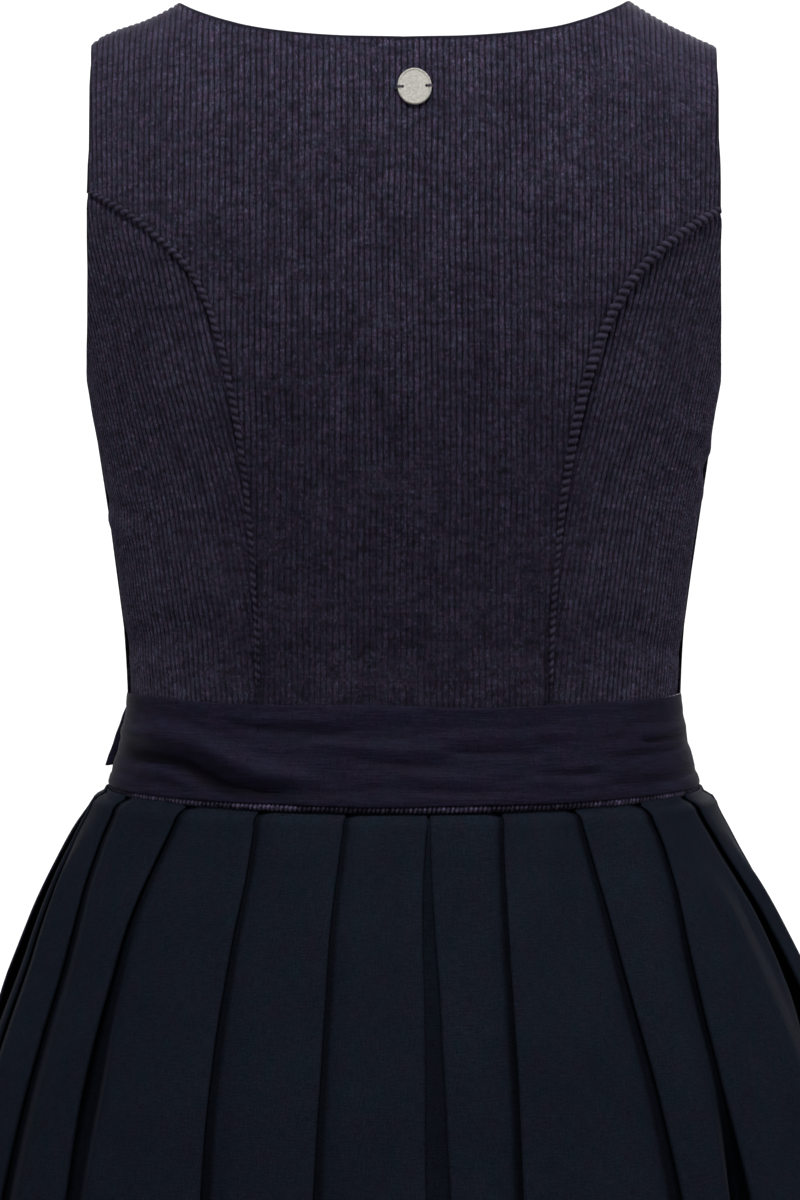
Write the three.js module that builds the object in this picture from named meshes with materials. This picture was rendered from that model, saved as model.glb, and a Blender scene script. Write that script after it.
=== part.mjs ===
// A dirndl as it is worn, hollow, with nobody in it: a sleeveless wide-wale
// corduroy bodice with piped back princess seams, a knife-pleated skirt with an
// inverted pleat at the centre back, and an apron whose tie goes round the back
// and is tied in a bow at the wearer's front left.
//
// Millimetres, +Z up. The origin is the middle of the line through the two
// shoulder straps, where the wearer's shoulders carry the dress. The wearer
// looks along +Y, so the back faces -Y and the wearer's left is at -X.
import * as THREE from "three";

// ---------------------------------------------------------------- sizes, mm
const CORDUROY = 2.0; // bodice cloth, corduroy with the layer bonded behind it
const SKIRT_CLOTH = 1.0;
const APRON_CLOTH = 1.0;
const TIE_CLOTH = 1.2; // two layers of thin taffeta
const SEAM = 0.3; // gap between pieces that are sewn together
const NECK_HALF = 119; // half of the neck opening at the shoulder seam
const SHOULDER_HALF = 165; // half of the width over both shoulder seams
const NECK_RISE = 10.3; // the shoulder seam's neck end above the origin
const NAPE_RISE = 11.2; // how much higher the body is at its middle than there
const SHOULDER_FALL = 0.485; // drop of the shoulder line for each mm outwards
const RISE_ENDS = -130; // below this level the shoulder line has no effect
const UNDERARM = -193;
const WAIST_SIDE = -407; // waist seam at the sides and front
const WAIST_DIP = 8; // how much lower it is at the centre back
const SKIRT_LENGTH = 600; // from the waist seam at the side to the hem
const HEM = WAIST_SIDE - SKIRT_LENGTH;
const APRON_HEM = HEM + 48;
const PLEAT_CLOTH = 118; // flat width of skirt cloth that each pleat takes
const FOLD_LOW = -607; // the level where a pleat's opening is given
const PLEAT_TURN = 10; // the most of a pleat's hidden turning that is drawn
const BAND_TOP = -355; // apron tie at the sides
const BAND_TOP_DIP = 6;
const BAND_FOOT = 3.2; // the tie ends this far above the waist seam
const PIPING_WIDE = 4.2;
const PIPING_HIGH = 2.1;
const RING_STEPS = 96; // steps of a half ring where its girth is measured

// --------------------------------------------------------- tables and curves
const rows = (names, ...values) =>
  values.map((v) => Object.fromEntries(names.map((n, i) => [n, v[i]])));
const clamp = (x, lo, hi) => Math.min(hi, Math.max(lo, x));
const lerp = (a, b, t) => a + (b - a) * t;
const ease = (t) => t * t * (3 - 2 * t);
const degrees = (d) => (d * Math.PI) / 180;

// A column of a table at a real-numbered row, smooth through every row.
function at(table, name, row) {
  const last = table.length - 1,
    r = clamp(row, 0, last),
    i = Math.min(Math.floor(r), last - 1),
    t = r - i;
  const [p0, p1, p2, p3] = [i - 1, i, i + 1, i + 2].map(
    (k) => table[clamp(k, 0, last)][name],
  );
  return (
    p1 +
    0.5 *
      t *
      (p2 - p0 + t * (2 * p0 - 5 * p1 + 4 * p2 - p3 + t * (3 * (p1 - p2) + p3 - p0)))
  );
}

// The real-numbered row where a column that only rises or only falls has a value.
function rowWhere(table, name, value) {
  const falls = table[0][name] > table.at(-1)[name];
  let lo = 0,
    hi = table.length - 1;
  for (let k = 0; k < 40; k++) {
    const mid = (lo + hi) / 2;
    if (at(table, name, mid) > value === falls) lo = mid;
    else hi = mid;
  }
  return (lo + hi) / 2;
}
const look = (table, key, value, name) => at(table, name, rowWhere(table, key, value));

// Half rings of the body under the bodice, from the ridge of the shoulders down.
// half: half width. back, front: depth behind and before the side seams.
// nBack, nFront: 2 is an ellipse, more is squarer.
const TORSO = rows(
  ["level", "half", "back", "front", "nBack", "nFront"],
  [0, 188, 0, 0, 2.8, 2.5],
  [-3.8, 188, 25, 22, 2.8, 2.5],
  [-14.7, 188, 49, 42, 2.8, 2.5],
  [-32, 188, 69, 58, 2.8, 2.5],
  [-55, 187, 84, 70, 2.8, 2.45],
  [-82, 186, 93, 81, 2.8, 2.4],
  [-112, 183.4, 98.5, 91, 2.75, 2.35],
  [-140, 177.3, 101.3, 100, 2.65, 2.3],
  [-167, 171.5, 102.7, 107, 2.54, 2.25],
  [-193, 167, 102.8, 111, 2.42, 2.2],
  [-221, 162, 101, 112, 2.35, 2.2],
  [-250, 157, 98, 110, 2.3, 2.2],
  [-280, 152.6, 95, 106, 2.3, 2.2],
  [-310, 148.8, 93, 101, 2.3, 2.2],
  [-336, 145.4, 92.6, 97, 2.3, 2.2],
  [-357, 144.2, 94, 95, 2.3, 2.2],
  [-380, 146.5, 97.5, 95.5, 2.28, 2.2],
  [-404, 151, 102, 98, 2.25, 2.2],
  [-430, 157, 107, 102, 2.22, 2.2],
);
// The bust that the front princess seams shape.
const BUST = { level: -232, x: 78, high: 15, wide: 36, tall: 42 };

// Edges of the bodice panels. Armholes are seen from the side.
const ARMHOLE = rows(
  ["level", "back", "front"],
  [0, 0, 0],
  [-3.8, -17, 14],
  [-14.7, -33, 27],
  [-32, -46.5, 38],
  [-55, -57, 49],
  [-82, -61.5, 57],
  [-112, -62, 60],
  [-140, -55, 54],
  [-165, -43, 41],
  [-182, -29, 25],
  [-190, -15, 12],
  [UNDERARM, 0, 0],
);
const NECKLINE = rows(
  ["x", "back", "front"],
  [0, -36.5, -125],
  [30, -35.4, -122.5],
  [55, -32.4, -114],
  [77, -27.4, -101],
  [91, -21.6, -84],
  [102, -15.4, -64],
  [111.5, -8.2, -34],
  [NECK_HALF, 0, 0],
);
// Princess seams, seen from behind and from the front.
const BACK_PRINCESS = rows(
  ["x", "level"],
  [77, -417],
  [75, -380],
  [75, -345],
  [76.5, -307],
  [79.5, -271],
  [85, -221],
  [91, -196],
  [98.5, -171],
  [107, -150],
  [118, -132],
  [133, -119],
  [150, -108],
  [167, -101],
);
const FRONT_PRINCESS = rows(
  ["x", "level"],
  [62, -410],
  [60, -375],
  [63, -335],
  [69, -295],
  [76, -260],
  [83, -230],
  [92, -200],
  [104, -170],
  [118, -145],
  [134, -127],
  [154, -112],
);

// The skirt's outer form, over the fold edges.
const SKIRT = rows(
  ["level", "half", "back", "front", "n", "lean"],
  [-407, 156, 104.6, 100.6, 2.24, 0],
  [-410, 161.6, 109.5, 104, 2.23, 0],
  [-416, 165.6, 113.4, 106.6, 2.21, 0],
  [-424, 170.4, 117.2, 109.4, 2.19, 0],
  [-436, 177.5, 122, 113, 2.17, 0],
  [-450, 186, 128, 117.5, 2.15, 0.3],
  [-466, 195, 134.5, 122.5, 2.13, 1],
  [-482, 201.5, 140, 127.5, 2.11, 2.5],
  [-495, 206, 144.5, 131.5, 2.1, 4],
  [-526, 218.5, 155, 141, 2.09, 4.5],
  [-570, 231.5, 168.5, 154, 2.07, 5],
  [-625, 246, 184, 169, 2.06, 5],
  [-700, 262, 202, 187, 2.05, 5],
  [-800, 281, 222, 207, 2.04, 5],
  [-900, 297, 240, 225, 2.03, 5],
  [HEM, 311, 256, 241, 2.02, 5],
);
// Fold edges of the pleats, as the angle from the centre back in degrees, minus
// towards the wearer's left, at the four levels named here. open is how far each
// edge stands off the cloth under it at the third level.
const FOLD_LEVELS = rows(["level"], [WAIST_SIDE], [-500], [FOLD_LOW], [HEM]);
const LEFT_FOLDS = rows(
  ["waist", "high", "low", "hem", "open"],
  [4.1, 1.8, 1.6, 1.5, 4.5],
  [-10.3, -12, -12, -12.5, 6],
  [-26, -26.8, -25.8, -27, 7],
  [-42, -46.9, -45, -45, 15],
  [-61, -60, -59.2, -62, 9],
  [-83, -81, -80, -82, 9],
  [-106, -105, -104, -105, 8],
  [-129, -129, -128, -129, 8],
  [-153, -152, -151, -152, 7],
);
const RIGHT_FOLDS = rows(
  ["waist", "high", "low", "hem", "open"],
  [5.1, 3.5, 3.7, 5.5, 4.5],
  [16.7, 13.8, 12.7, 14, 5],
  [31, 31, 33.4, 34, 8],
  [47, 43.3, 41.7, 45, 11],
  [64, 63.8, 63.5, 65, 17],
  [85.5, 85.5, 85, 86, 9],
  [108, 107, 107, 108, 8],
  [131, 130, 130, 131, 8],
  [155, 154, 153, 155, 7],
);
const FOLD_THIN = 3; // height of a pressed fold at the waist
const LEFT_SEAM_FOLD = 5; // the skirt's side seams lie inside these pleats
const RIGHT_SEAM_FOLD = 5;

// The apron: angles of its side edges from the centre back, and its gathers.
const APRON = rows(
  ["level", "edgeLeft", "edgeRight", "off", "wave"],
  [-404.5, -101, 104, 2.6, 1.1],
  [-418, -98, 103.5, 2.8, 1.5],
  [-440, -93, 103, 3.6, 2.4],
  [-475, -90, 103, 4.6, 3.4],
  [-540, -88, 103.5, 5.6, 5],
  [-650, -88, 104, 6.2, 7.5],
  [-800, -89.5, 105, 6.9, 9],
  [APRON_HEM, -91.5, 106, 7.6, 10.5],
);
const APRON_WAVES = 8;

// The apron tie: how far it stands off the bodice from its top edge to its foot.
const TIE = rows(
  ["share", "off"],
  [0, 1.1],
  [0.25, 1.4],
  [0.5, 2.3],
  [0.75, 3.6],
  [1, 5.2],
);
const TIE_ENDS = { left: -97, right: 99 }; // where the tie meets the apron's own band
const BOW = { angle: -140, level: -374 };
const LOOPS = rows(
  ["name", "way", "reach", "droop", "wide", "skew", "belly"],
  ["bow_loop_side", 1, 60, 5, 35, 14, 15],
  ["bow_loop_front", -1, 78, 14, 42, 8, 15],
);
const TAILS = rows(
  ["name", "aside", "long", "wide", "off"],
  ["tie_tail_side", 17, 395, 44, 14],
  ["tie_tail_front", -19, 430, 44, 22],
);
const BADGE = { x: 5.2, level: -62.5, half: 8.0, tall: 9.8, thick: 1.3, lean: -2.4, hole: 0.75, holeAt: 6.3 };

// ------------------------------------------------------------------- forms
// Half a ring, from the centre back through the side to the centre front.
function halfRing(half, back, front, nBack, nFront) {
  const points = [];
  let girth = 0;
  for (let i = 0; i <= RING_STEPS; i++) {
    const angle = (Math.PI * i) / RING_STEPS,
      behind = i <= RING_STEPS / 2,
      n = behind ? nBack : nFront,
      s = Math.sin(angle),
      c = Math.cos(angle);
    const r = (Math.abs(s) ** n + Math.abs(c) ** n) ** (-1 / n);
    const x = half * r * s,
      y = -(behind ? back : front) * r * c;
    if (i) girth += Math.hypot(x - points[i - 1].x, y - points[i - 1].y);
    points.push({ x, y, girth, angle });
  }
  return { points, total: girth, side: points[RING_STEPS / 2].girth };
}

// The girth, from the centre back, where a half ring's column has a value.
function girthWhere(ring, name, value, front = false) {
  const half = RING_STEPS / 2,
    p = ring.points;
  for (let i = front ? half : 0; i < (front ? RING_STEPS : half); i++) {
    const a = p[i][name],
      b = p[i + 1][name];
    if ((a - value) * (b - value) <= 0 && a !== b)
      return lerp(p[i].girth, p[i + 1].girth, (value - a) / (b - a));
  }
  const ends = front ? [p[half], p[RING_STEPS]] : [p[0], p[half]];
  return Math.abs(ends[0][name] - value) < Math.abs(ends[1][name] - value)
    ? ends[0].girth
    : ends[1].girth;
}

// The point of a whole ring at a girth from the centre back, minus to the left,
// moved out by off.
function onRing(ring, girth, off = 0) {
  let g = girth;
  if (g > ring.total) g -= 2 * ring.total;
  if (g < -ring.total) g += 2 * ring.total;
  const flip = g < 0 ? -1 : 1,
    p = ring.points;
  g = Math.abs(g);
  let lo = 0,
    hi = RING_STEPS;
  while (hi - lo > 1) {
    const mid = (lo + hi) >> 1;
    if (p[mid].girth > g) hi = mid;
    else lo = mid;
  }
  const span = p[hi].girth - p[lo].girth,
    t = span > 0 ? clamp((g - p[lo].girth) / span, 0, 1) : 0;
  const normalOf = (k) => {
    const a = p[Math.max(0, k - 1)],
      b = p[Math.min(RING_STEPS, k + 1)];
    const m = Math.hypot(b.x - a.x, b.y - a.y) || 1;
    if (k === 0) return { x: 0, y: -1 };
    if (k === RING_STEPS) return { x: 0, y: 1 };
    return { x: (b.y - a.y) / m, y: -(b.x - a.x) / m };
  };
  const n0 = normalOf(lo),
    n1 = normalOf(hi);
  const nx = lerp(n0.x, n1.x, t),
    ny = lerp(n0.y, n1.y, t),
    m = Math.hypot(nx, ny) || 1;
  return {
    x: flip * (lerp(p[lo].x, p[hi].x, t) + (off * nx) / m),
    y: lerp(p[lo].y, p[hi].y, t) + (off * ny) / m,
    angle: flip * lerp(p[lo].angle, p[hi].angle, t),
  };
}

const torsoRings = new Map();
function torsoRing(row) {
  const key = Math.round(row * 1e5);
  if (!torsoRings.has(key))
    torsoRings.set(
      key,
      halfRing(
        ...["half", "back", "front", "nBack", "nFront"].map((c) => at(TORSO, c, row)),
      ),
    );
  return torsoRings.get(key);
}
function shoulderRise(x) {
  const d = Math.abs(x) - NECK_HALF;
  return d > 0
    ? NECK_RISE - SHOULDER_FALL * d
    : NECK_RISE + NAPE_RISE * (1 - (x / NECK_HALF) ** 2);
}
function bust(x, level) {
  const side = (Math.abs(x) - BUST.x) / BUST.wide,
    up = (level - BUST.level) / BUST.tall;
  return BUST.high * Math.exp(-0.5 * (side * side + up * up));
}
// A point of the body under the bodice, at a girth and a row of TORSO.
function bodySkin(girth, row) {
  const p = onRing(torsoRing(row), girth),
    level = at(TORSO, "level", row);
  const rise = level > RISE_ENDS ? (1 + Math.cos((Math.PI * level) / RISE_ENDS)) / 2 : 0;
  const front = Math.abs(girth) > torsoRing(row).side;
  return new THREE.Vector3(
    p.x,
    p.y + (front ? bust(p.x, level) * ease(clamp(p.y / 60, 0, 1)) : 0),
    level + rise * shoulderRise(p.x),
  );
}
function bodyNormal(girth, row) {
  const g = 1.5,
    r = 0.04,
    top = Math.max(row - r, 0.004);
  const along = bodySkin(girth + g, Math.max(row, 0.004)).sub(
    bodySkin(girth - g, Math.max(row, 0.004)),
  );
  const down = bodySkin(girth, row + r).sub(bodySkin(girth, top));
  const out = along.cross(down).negate().normalize();
  out.y *= clamp(row / 0.3, 0, 1); // straight up where back and front meet
  return out.normalize();
}
// The outer face of the bodice, moved out by off.
const onBodice = (girth, row, off = 0) =>
  bodySkin(girth, row).addScaledVector(bodyNormal(girth, row), off);

function waistLevel(angle) {
  return WAIST_SIDE - WAIST_DIP * Math.max(0, Math.cos(angle)) ** 1.3;
}
function bandTop(angle) {
  return BAND_TOP - BAND_TOP_DIP * Math.max(0, Math.cos(angle)) ** 1.3;
}
const rowOf = (level) => rowWhere(TORSO, "level", level);

// ----------------------------------------------------- edges of the panels
// Each edge is a list of {girth, row} on the wearer's right; mirrored() gives
// the left one.
const mirrored = (edge) => edge.map((p) => ({ girth: -p.girth, row: p.row }));

// The same edge with evenly spaced points.
function spaced(edge, count) {
  const far = [0];
  for (let i = 1; i < edge.length; i++)
    far.push(
      far[i - 1] +
        Math.hypot(
          edge[i].girth - edge[i - 1].girth,
          (edge[i].row - edge[i - 1].row) * 26,
        ),
    );
  return Array.from({ length: count + 1 }, (_, k) => {
    const want = (far.at(-1) * k) / count;
    let i = 1;
    while (i < edge.length - 1 && far[i] < want) i++;
    const t = clamp((want - far[i - 1]) / (far[i] - far[i - 1] || 1), 0, 1);
    return {
      girth: lerp(edge[i - 1].girth, edge[i].girth, t),
      row: lerp(edge[i - 1].row, edge[i].row, t),
    };
  });
}
const RIDGE_ROW = 0.018, // where the shoulder seam's gap ends
  STRAP_ROW = 2; // the row of ARMHOLE down to which it is the strap's end
function smoothEdge(table, steps, point) {
  return Array.from({ length: steps + 1 }, (_, k) =>
    point((name) => at(table, name, ((table.length - 1) * k) / steps)),
  );
}
const princess = (table, front) =>
  smoothEdge(table, 60, (v) => {
    const row = rowOf(v("level"));
    return { girth: girthWhere(torsoRing(row), "x", v("x"), front), row };
  });
const armhole = (column, front) => {
  const point = (v) => {
    const row = Math.max(rowOf(v("level")), RIDGE_ROW);
    return { girth: girthWhere(torsoRing(row), "y", v(column), front), row };
  };
  // Up at the shoulder seam the edge is the end of the strap.
  const low = point((name) => ARMHOLE[STRAP_ROW][name]),
    lowX = Math.abs(onRing(torsoRing(low.row), low.girth).x);
  return smoothEdge(ARMHOLE, 88, (v) => {
    const share = v("level") / ARMHOLE[STRAP_ROW].level;
    if (share >= 1) return point(v);
    const row = Math.max(rowOf(v("level")), RIDGE_ROW),
      x = lerp(SHOULDER_HALF, lowX, Math.max(0, share));
    return { girth: girthWhere(torsoRing(row), "x", x, front), row };
  });
};
const neckline = (column, front) =>
  smoothEdge(NECKLINE, 56, (v) => {
    const row = Math.max(rowOf(v(column)), RIDGE_ROW);
    return { girth: girthWhere(torsoRing(row), "x", v("x"), front), row };
  });
const shoulder = (front) =>
  [0, 0.25, 0.5, 0.75, 1].map((t) => ({
    girth: girthWhere(
      torsoRing(RIDGE_ROW),
      "x",
      lerp(NECK_HALF, SHOULDER_HALF, t),
      front,
    ),
    row: RIDGE_ROW,
  }));
// The waist seam between two girths of the bodice.
function waistEdge(from, to, count) {
  return Array.from({ length: count + 1 }, (_, k) => {
    const girth = lerp(from, to, count ? k / count : 0),
      ring = torsoRing(rowOf(WAIST_SIDE));
    const angle = onRing(ring, girth).angle;
    return { girth, row: rowOf(waistLevel(angle) + SEAM / 2) };
  });
}
// Cuts an edge short where it crosses the row of another point.
const below = (edge, row) => edge.filter((p) => p.row >= row);
const above = (edge, row) => edge.filter((p) => p.row <= row);

// --------------------------------------------------------------- triangles
function geometryOf(positions, triangles) {
  const g = new THREE.BufferGeometry();
  g.setAttribute("position", new THREE.Float32BufferAttribute(positions.flat(), 3));
  g.setIndex(triangles.flat());
  g.computeVertexNormals();
  return g;
}
// A closed wall between two grids of the same size. Rows run up, columns run so
// that the first grid is seen from outside. A round wall closes on itself.
function wall(outer, inner, round = false) {
  const R = outer.length,
    C = outer[0].length,
    positions = [],
    triangles = [];
  for (const grid of [outer, inner])
    for (const line of grid) for (const p of line) positions.push([p.x, p.y, p.z]);
  const id = (layer, r, c) => layer * R * C + r * C + (c % C);
  const quad = (a, b, c, d, turned = false) =>
    triangles.push(turned ? [b, c, d] : [a, b, c], turned ? [b, d, a] : [a, c, d]);
  const columns = round ? C : C - 1;
  for (let r = 0; r < R - 1; r++)
    for (let c = 0; c < columns; c++) {
      // each quad is split along its shorter diagonal, the same on both faces
      const next = (c + 1) % C,
        turned =
          outer[r][c].distanceTo(outer[r + 1][next]) >
          outer[r][next].distanceTo(outer[r + 1][c]);
      quad(id(0, r, c), id(0, r, c + 1), id(0, r + 1, c + 1), id(0, r + 1, c), turned);
      quad(id(1, r, c), id(1, r + 1, c), id(1, r + 1, c + 1), id(1, r, c + 1), turned);
    }
  for (let c = 0; c < columns; c++) {
    quad(id(0, 0, c), id(1, 0, c), id(1, 0, c + 1), id(0, 0, c + 1));
    quad(id(0, R - 1, c), id(0, R - 1, c + 1), id(1, R - 1, c + 1), id(1, R - 1, c));
  }
  if (!round)
    for (let r = 0; r < R - 1; r++) {
      quad(id(0, r, 0), id(0, r + 1, 0), id(1, r + 1, 0), id(1, r, 0));
      quad(id(0, r, C - 1), id(1, r, C - 1), id(1, r + 1, C - 1), id(0, r + 1, C - 1));
    }
  return geometryOf(positions, triangles);
}
// A closed bar: the same section at each place of a path, with flat ends, or a
// closed hoop.
function bar(sections, hoop = false) {
  const n = sections[0].length,
    positions = sections.flat().map((p) => [p.x, p.y, p.z]),
    triangles = [];
  const N = sections.length;
  for (let k = 0; k < (hoop ? N : N - 1); k++)
    for (let i = 0; i < n; i++) {
      const a = k * n + i,
        b = k * n + ((i + 1) % n),
        next = ((k + 1) % N) * n;
      triangles.push(
        [a, b, next + ((i + 1) % n)],
        [a, next + ((i + 1) % n), next + i],
      );
    }
  if (!hoop)
    for (let i = 1; i < n - 1; i++) {
      triangles.push([0, i + 1, i]);
      triangles.push([(N - 1) * n, (N - 1) * n + i, (N - 1) * n + i + 1]);
    }
  return geometryOf(positions, triangles);
}

// ------------------------------------------------------------------ pieces
const looks = {
  corduroy: new THREE.MeshStandardMaterial({ color: 0x2c2936, roughness: 0.95 }),
  skirt: new THREE.MeshStandardMaterial({ color: 0x141a22, roughness: 0.85 }),
  apron: new THREE.MeshStandardMaterial({ color: 0x1c1a27, roughness: 0.7 }),
  tie: new THREE.MeshStandardMaterial({ color: 0x1b1926, roughness: 0.55 }),
  metal: new THREE.MeshStandardMaterial({ color: 0xcfcabd, roughness: 0.4, metalness: 0.9 }),
};
const dirndl = new THREE.Group();
function piece(name, geometry, material) {
  const mesh = new THREE.Mesh(geometry, material);
  mesh.name = name;
  dirndl.add(mesh);
  return mesh;
}

// Where an edge that only rises is at a row, or its nearer end.
function girthOn(edge, row) {
  let i = 1;
  while (i < edge.length - 1 && edge[i].row > row) i++;
  const a = edge[i - 1],
    b = edge[i];
  return lerp(a.girth, b.girth, clamp((row - a.row) / (b.row - a.row || 1), 0, 1));
}
// A bodice panel as a wall. Its left and right edges run from the waist up, and
// its top from left to right. Each column goes from the waist to a point of the
// top, always at the same share of the way between the two edges. Edges that are
// sewn to a neighbour are drawn in by half the gap.
function panel(name, { left, right, top }) {
  const R = left.length - 1,
    C = top.length - 1,
    half = SEAM / 2;
  const shares = top.map((p, c) => {
    if (c === 0 || c === C) return c / C;
    const l = girthOn(left, p.row),
      r = girthOn(right, p.row);
    return (p.girth - l) / (r - l);
  });
  const risen = (edge, r) => (edge[r].row - edge[0].row) / (edge[R].row - edge[0].row);
  const grid = (off) =>
    left.map((_, r) =>
      top.map((tip, c) => {
        const u = shares[c],
          v = lerp(risen(left, r), risen(right, r), u);
        const start = waistEdge(lerp(left[0].girth, right[0].girth, u), 0, 0)[0];
        const row = lerp(start.row, tip.row, v);
        const ends = [left, right].map((edge, k) =>
          c === (k ? C : 0) ? edge[r].girth : girthOn(edge, row),
        );
        const shift = c === 0 ? half : c === C ? -half : 0;
        if (c === 0 || c === C)
          return onBodice(ends[c ? 1 : 0] + shift, (c ? right : left)[r].row, off);
        return onBodice(r === R ? tip.girth : lerp(ends[0], ends[1], u), row, off);
      }),
    );
  return piece(name, wall(grid(0), grid(-CORDUROY)), looks.corduroy);
}

const backPrincess = princess(BACK_PRINCESS, false),
  frontPrincess = princess(FRONT_PRINCESS, true),
  backArm = armhole("back", false),
  frontArm = armhole("front", true),
  backNeck = neckline("back", false),
  frontNeck = neckline("front", true);

const SEAM_ROWS = 11, // rows of a panel below the armhole
  ARM_ROWS = 5;

// Where a princess seam runs into the armhole, and the edge above and below.
function meeting(seam, arm) {
  const last = seam.at(-1);
  const cut = arm.reduce((a, b) =>
    Math.abs(a.row - last.row) < Math.abs(b.row - last.row) ? a : b,
  );
  return {
    seam: [...seam.slice(0, -1), cut],
    over: [...above(arm, cut.row)].reverse(),
    under: [...below(arm, cut.row)],
  };
}
const back = meeting(backPrincess, backArm),
  front = meeting(frontPrincess, frontArm);

const lastOf = (edge) => edge.at(-1);
// Each seam starts on the waist seam, where the waist edge is at its girth.
const onWaist = (seam) => {
  const start = waistEdge(seam[0].girth, seam[0].girth + 1, 1)[0];
  return [start, ...seam.filter((p) => p.row < start.row - 0.05)];
};
const backSeam = spaced(onWaist(back.seam), SEAM_ROWS),
  frontSeam = spaced(onWaist(front.seam), SEAM_ROWS);
const backOver = spaced(back.over, ARM_ROWS),
  frontOver = spaced(front.over, ARM_ROWS);
const sideSeam = Array.from({ length: SEAM_ROWS + 1 }, (_, k) => {
  const row = lerp(rowOf(WAIST_SIDE + SEAM / 2), rowOf(UNDERARM), k / SEAM_ROWS);
  return { girth: torsoRing(row).side, row };
});

// Centre back: neckline and both shoulders are its top.
{
  const right = [...backSeam, ...backOver.slice(1)];
  const neck = spaced(backNeck, 6),
    strap = spaced(shoulder(false), 2).slice(1);
  const halfTop = [...neck, ...strap];
  panel("back_centre_panel", {
    left: mirrored(right),
    right,
    top: [...mirrored(halfTop.slice(1)).reverse(), ...halfTop],
  });
}
// Sides of the back and front, from the princess seam to the side seam.
const SIDE_COLUMNS = 5;
function sidePanels(where, seam, under) {
  const front = where === "front",
    curve = spaced(under, SIDE_COLUMNS);
  const right = {
    left: front ? sideSeam : seam,
    right: front ? seam : sideSeam,
    top: front ? [...curve].reverse() : curve,
  };
  panel(`${where}_side_panel_r`, right);
  panel(`${where}_side_panel_l`, {
    left: mirrored(right.right),
    right: mirrored(right.left),
    top: mirrored(right.top).reverse(),
  });
}
sidePanels("back", backSeam, back.under);
sidePanels("front", frontSeam, front.under);
// Fronts, which meet edge to edge at the centre front.
{
  const outer = [...frontSeam, ...frontOver.slice(1)],
    R = outer.length - 1;
  const centre = outer.map((_, k) => {
    const row = lerp(rowOf(WAIST_SIDE + SEAM / 2), frontNeck[0].row, k / R);
    return { girth: torsoRing(row).total, row };
  });
  const strap = spaced(shoulder(true), 2).reverse(),
    neck = spaced([...frontNeck].reverse(), 6);
  const right = {
    left: outer,
    right: centre,
    top: [...strap.slice(0, -1), ...neck],
  };
  panel("front_centre_panel_r", right);
  panel("front_centre_panel_l", {
    left: mirrored(centre),
    right: mirrored(outer),
    top: mirrored(right.top).reverse(),
  });
}

// Piping: a half-round bar on the seam, made from the seam's own points.
function dSection(centre, across, out) {
  return [
    [-0.5, 0],
    [-0.36, 0.68],
    [0, 1],
    [0.36, 0.68],
    [0.5, 0],
  ].map(([a, h]) =>
    centre
      .clone()
      .addScaledVector(across, a * PIPING_WIDE)
      .addScaledVector(out, SEAM + h * PIPING_HIGH),
  );
}
function pipingAlong(name, seam) {
  const line = seam.map((p) => onBodice(p.girth, p.row, 0.35));
  const sections = line.map((p, k) => {
    const out = bodyNormal(seam[k].girth, seam[k].row);
    const way = line[Math.min(k + 1, line.length - 1)]
      .clone()
      .sub(line[Math.max(k - 1, 0)])
      .normalize();
    return dSection(p, way.clone().cross(out).normalize(), out);
  });
  piece(name, bar(sections), looks.corduroy);
}
const pipedSeam = spaced(onWaist(back.seam), 2 * SEAM_ROWS).slice(1, -1);
pipingAlong("back_piping_r", pipedSeam);
pipingAlong("back_piping_l", mirrored(pipedSeam));
{
  const STEPS = 48,
    UP = 2.9; // the middle of the waist piping above the waist seam
  const ring = torsoRing(rowOf(WAIST_SIDE));
  const sections = Array.from({ length: STEPS }, (_, k) => {
    const girth = ring.total * ((2 * k) / STEPS - 1),
      angle = onRing(ring, girth).angle,
      row = rowOf(waistLevel(angle) + UP);
    const wide = torsoRing(row).total / ring.total;
    const out = bodyNormal(girth * wide, row),
      down = onBodice(girth * wide, row + 0.1).sub(onBodice(girth * wide, row - 0.1));
    return dSection(onBodice(girth * wide, row, 0.5), down.normalize(), out);
  });
  piece("waist_piping", bar(sections, true), looks.corduroy);
}

// ------------------------------------------------------------------- skirt
function skirtRing(level) {
  const row = rowWhere(SKIRT, "level", level),
    v = (c) => at(SKIRT, c, row);
  return {
    ...halfRing(v("half"), v("back"), v("front"), v("n"), v("n")),
    lean: v("lean"),
  };
}
// A fold's girth at a level.
function foldGirth(ring, fold, level) {
  const angles = [fold.waist, fold.high, fold.low, fold.hem].map((v) => ({ v })),
    degreesAt = at(angles, "v", rowWhere(FOLD_LEVELS, "level", level));
  const angle = degrees(Math.abs(degreesAt)),
    place = (angle / Math.PI) * RING_STEPS;
  const i = Math.min(Math.floor(place), RING_STEPS - 1);
  return (
    Math.sign(degreesAt) *
    lerp(ring.points[i].girth, ring.points[i + 1].girth, place - i)
  );
}
function foldHeight(fold, level) {
  const t = clamp((level - WAIST_SIDE) / (FOLD_LOW - WAIST_SIDE), 0, 1),
    u = clamp((level - FOLD_LOW) / (HEM - FOLD_LOW), 0, 1);
  return lerp(FOLD_THIN, fold.open, ease(t)) + 5 * ease(u);
}
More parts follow.
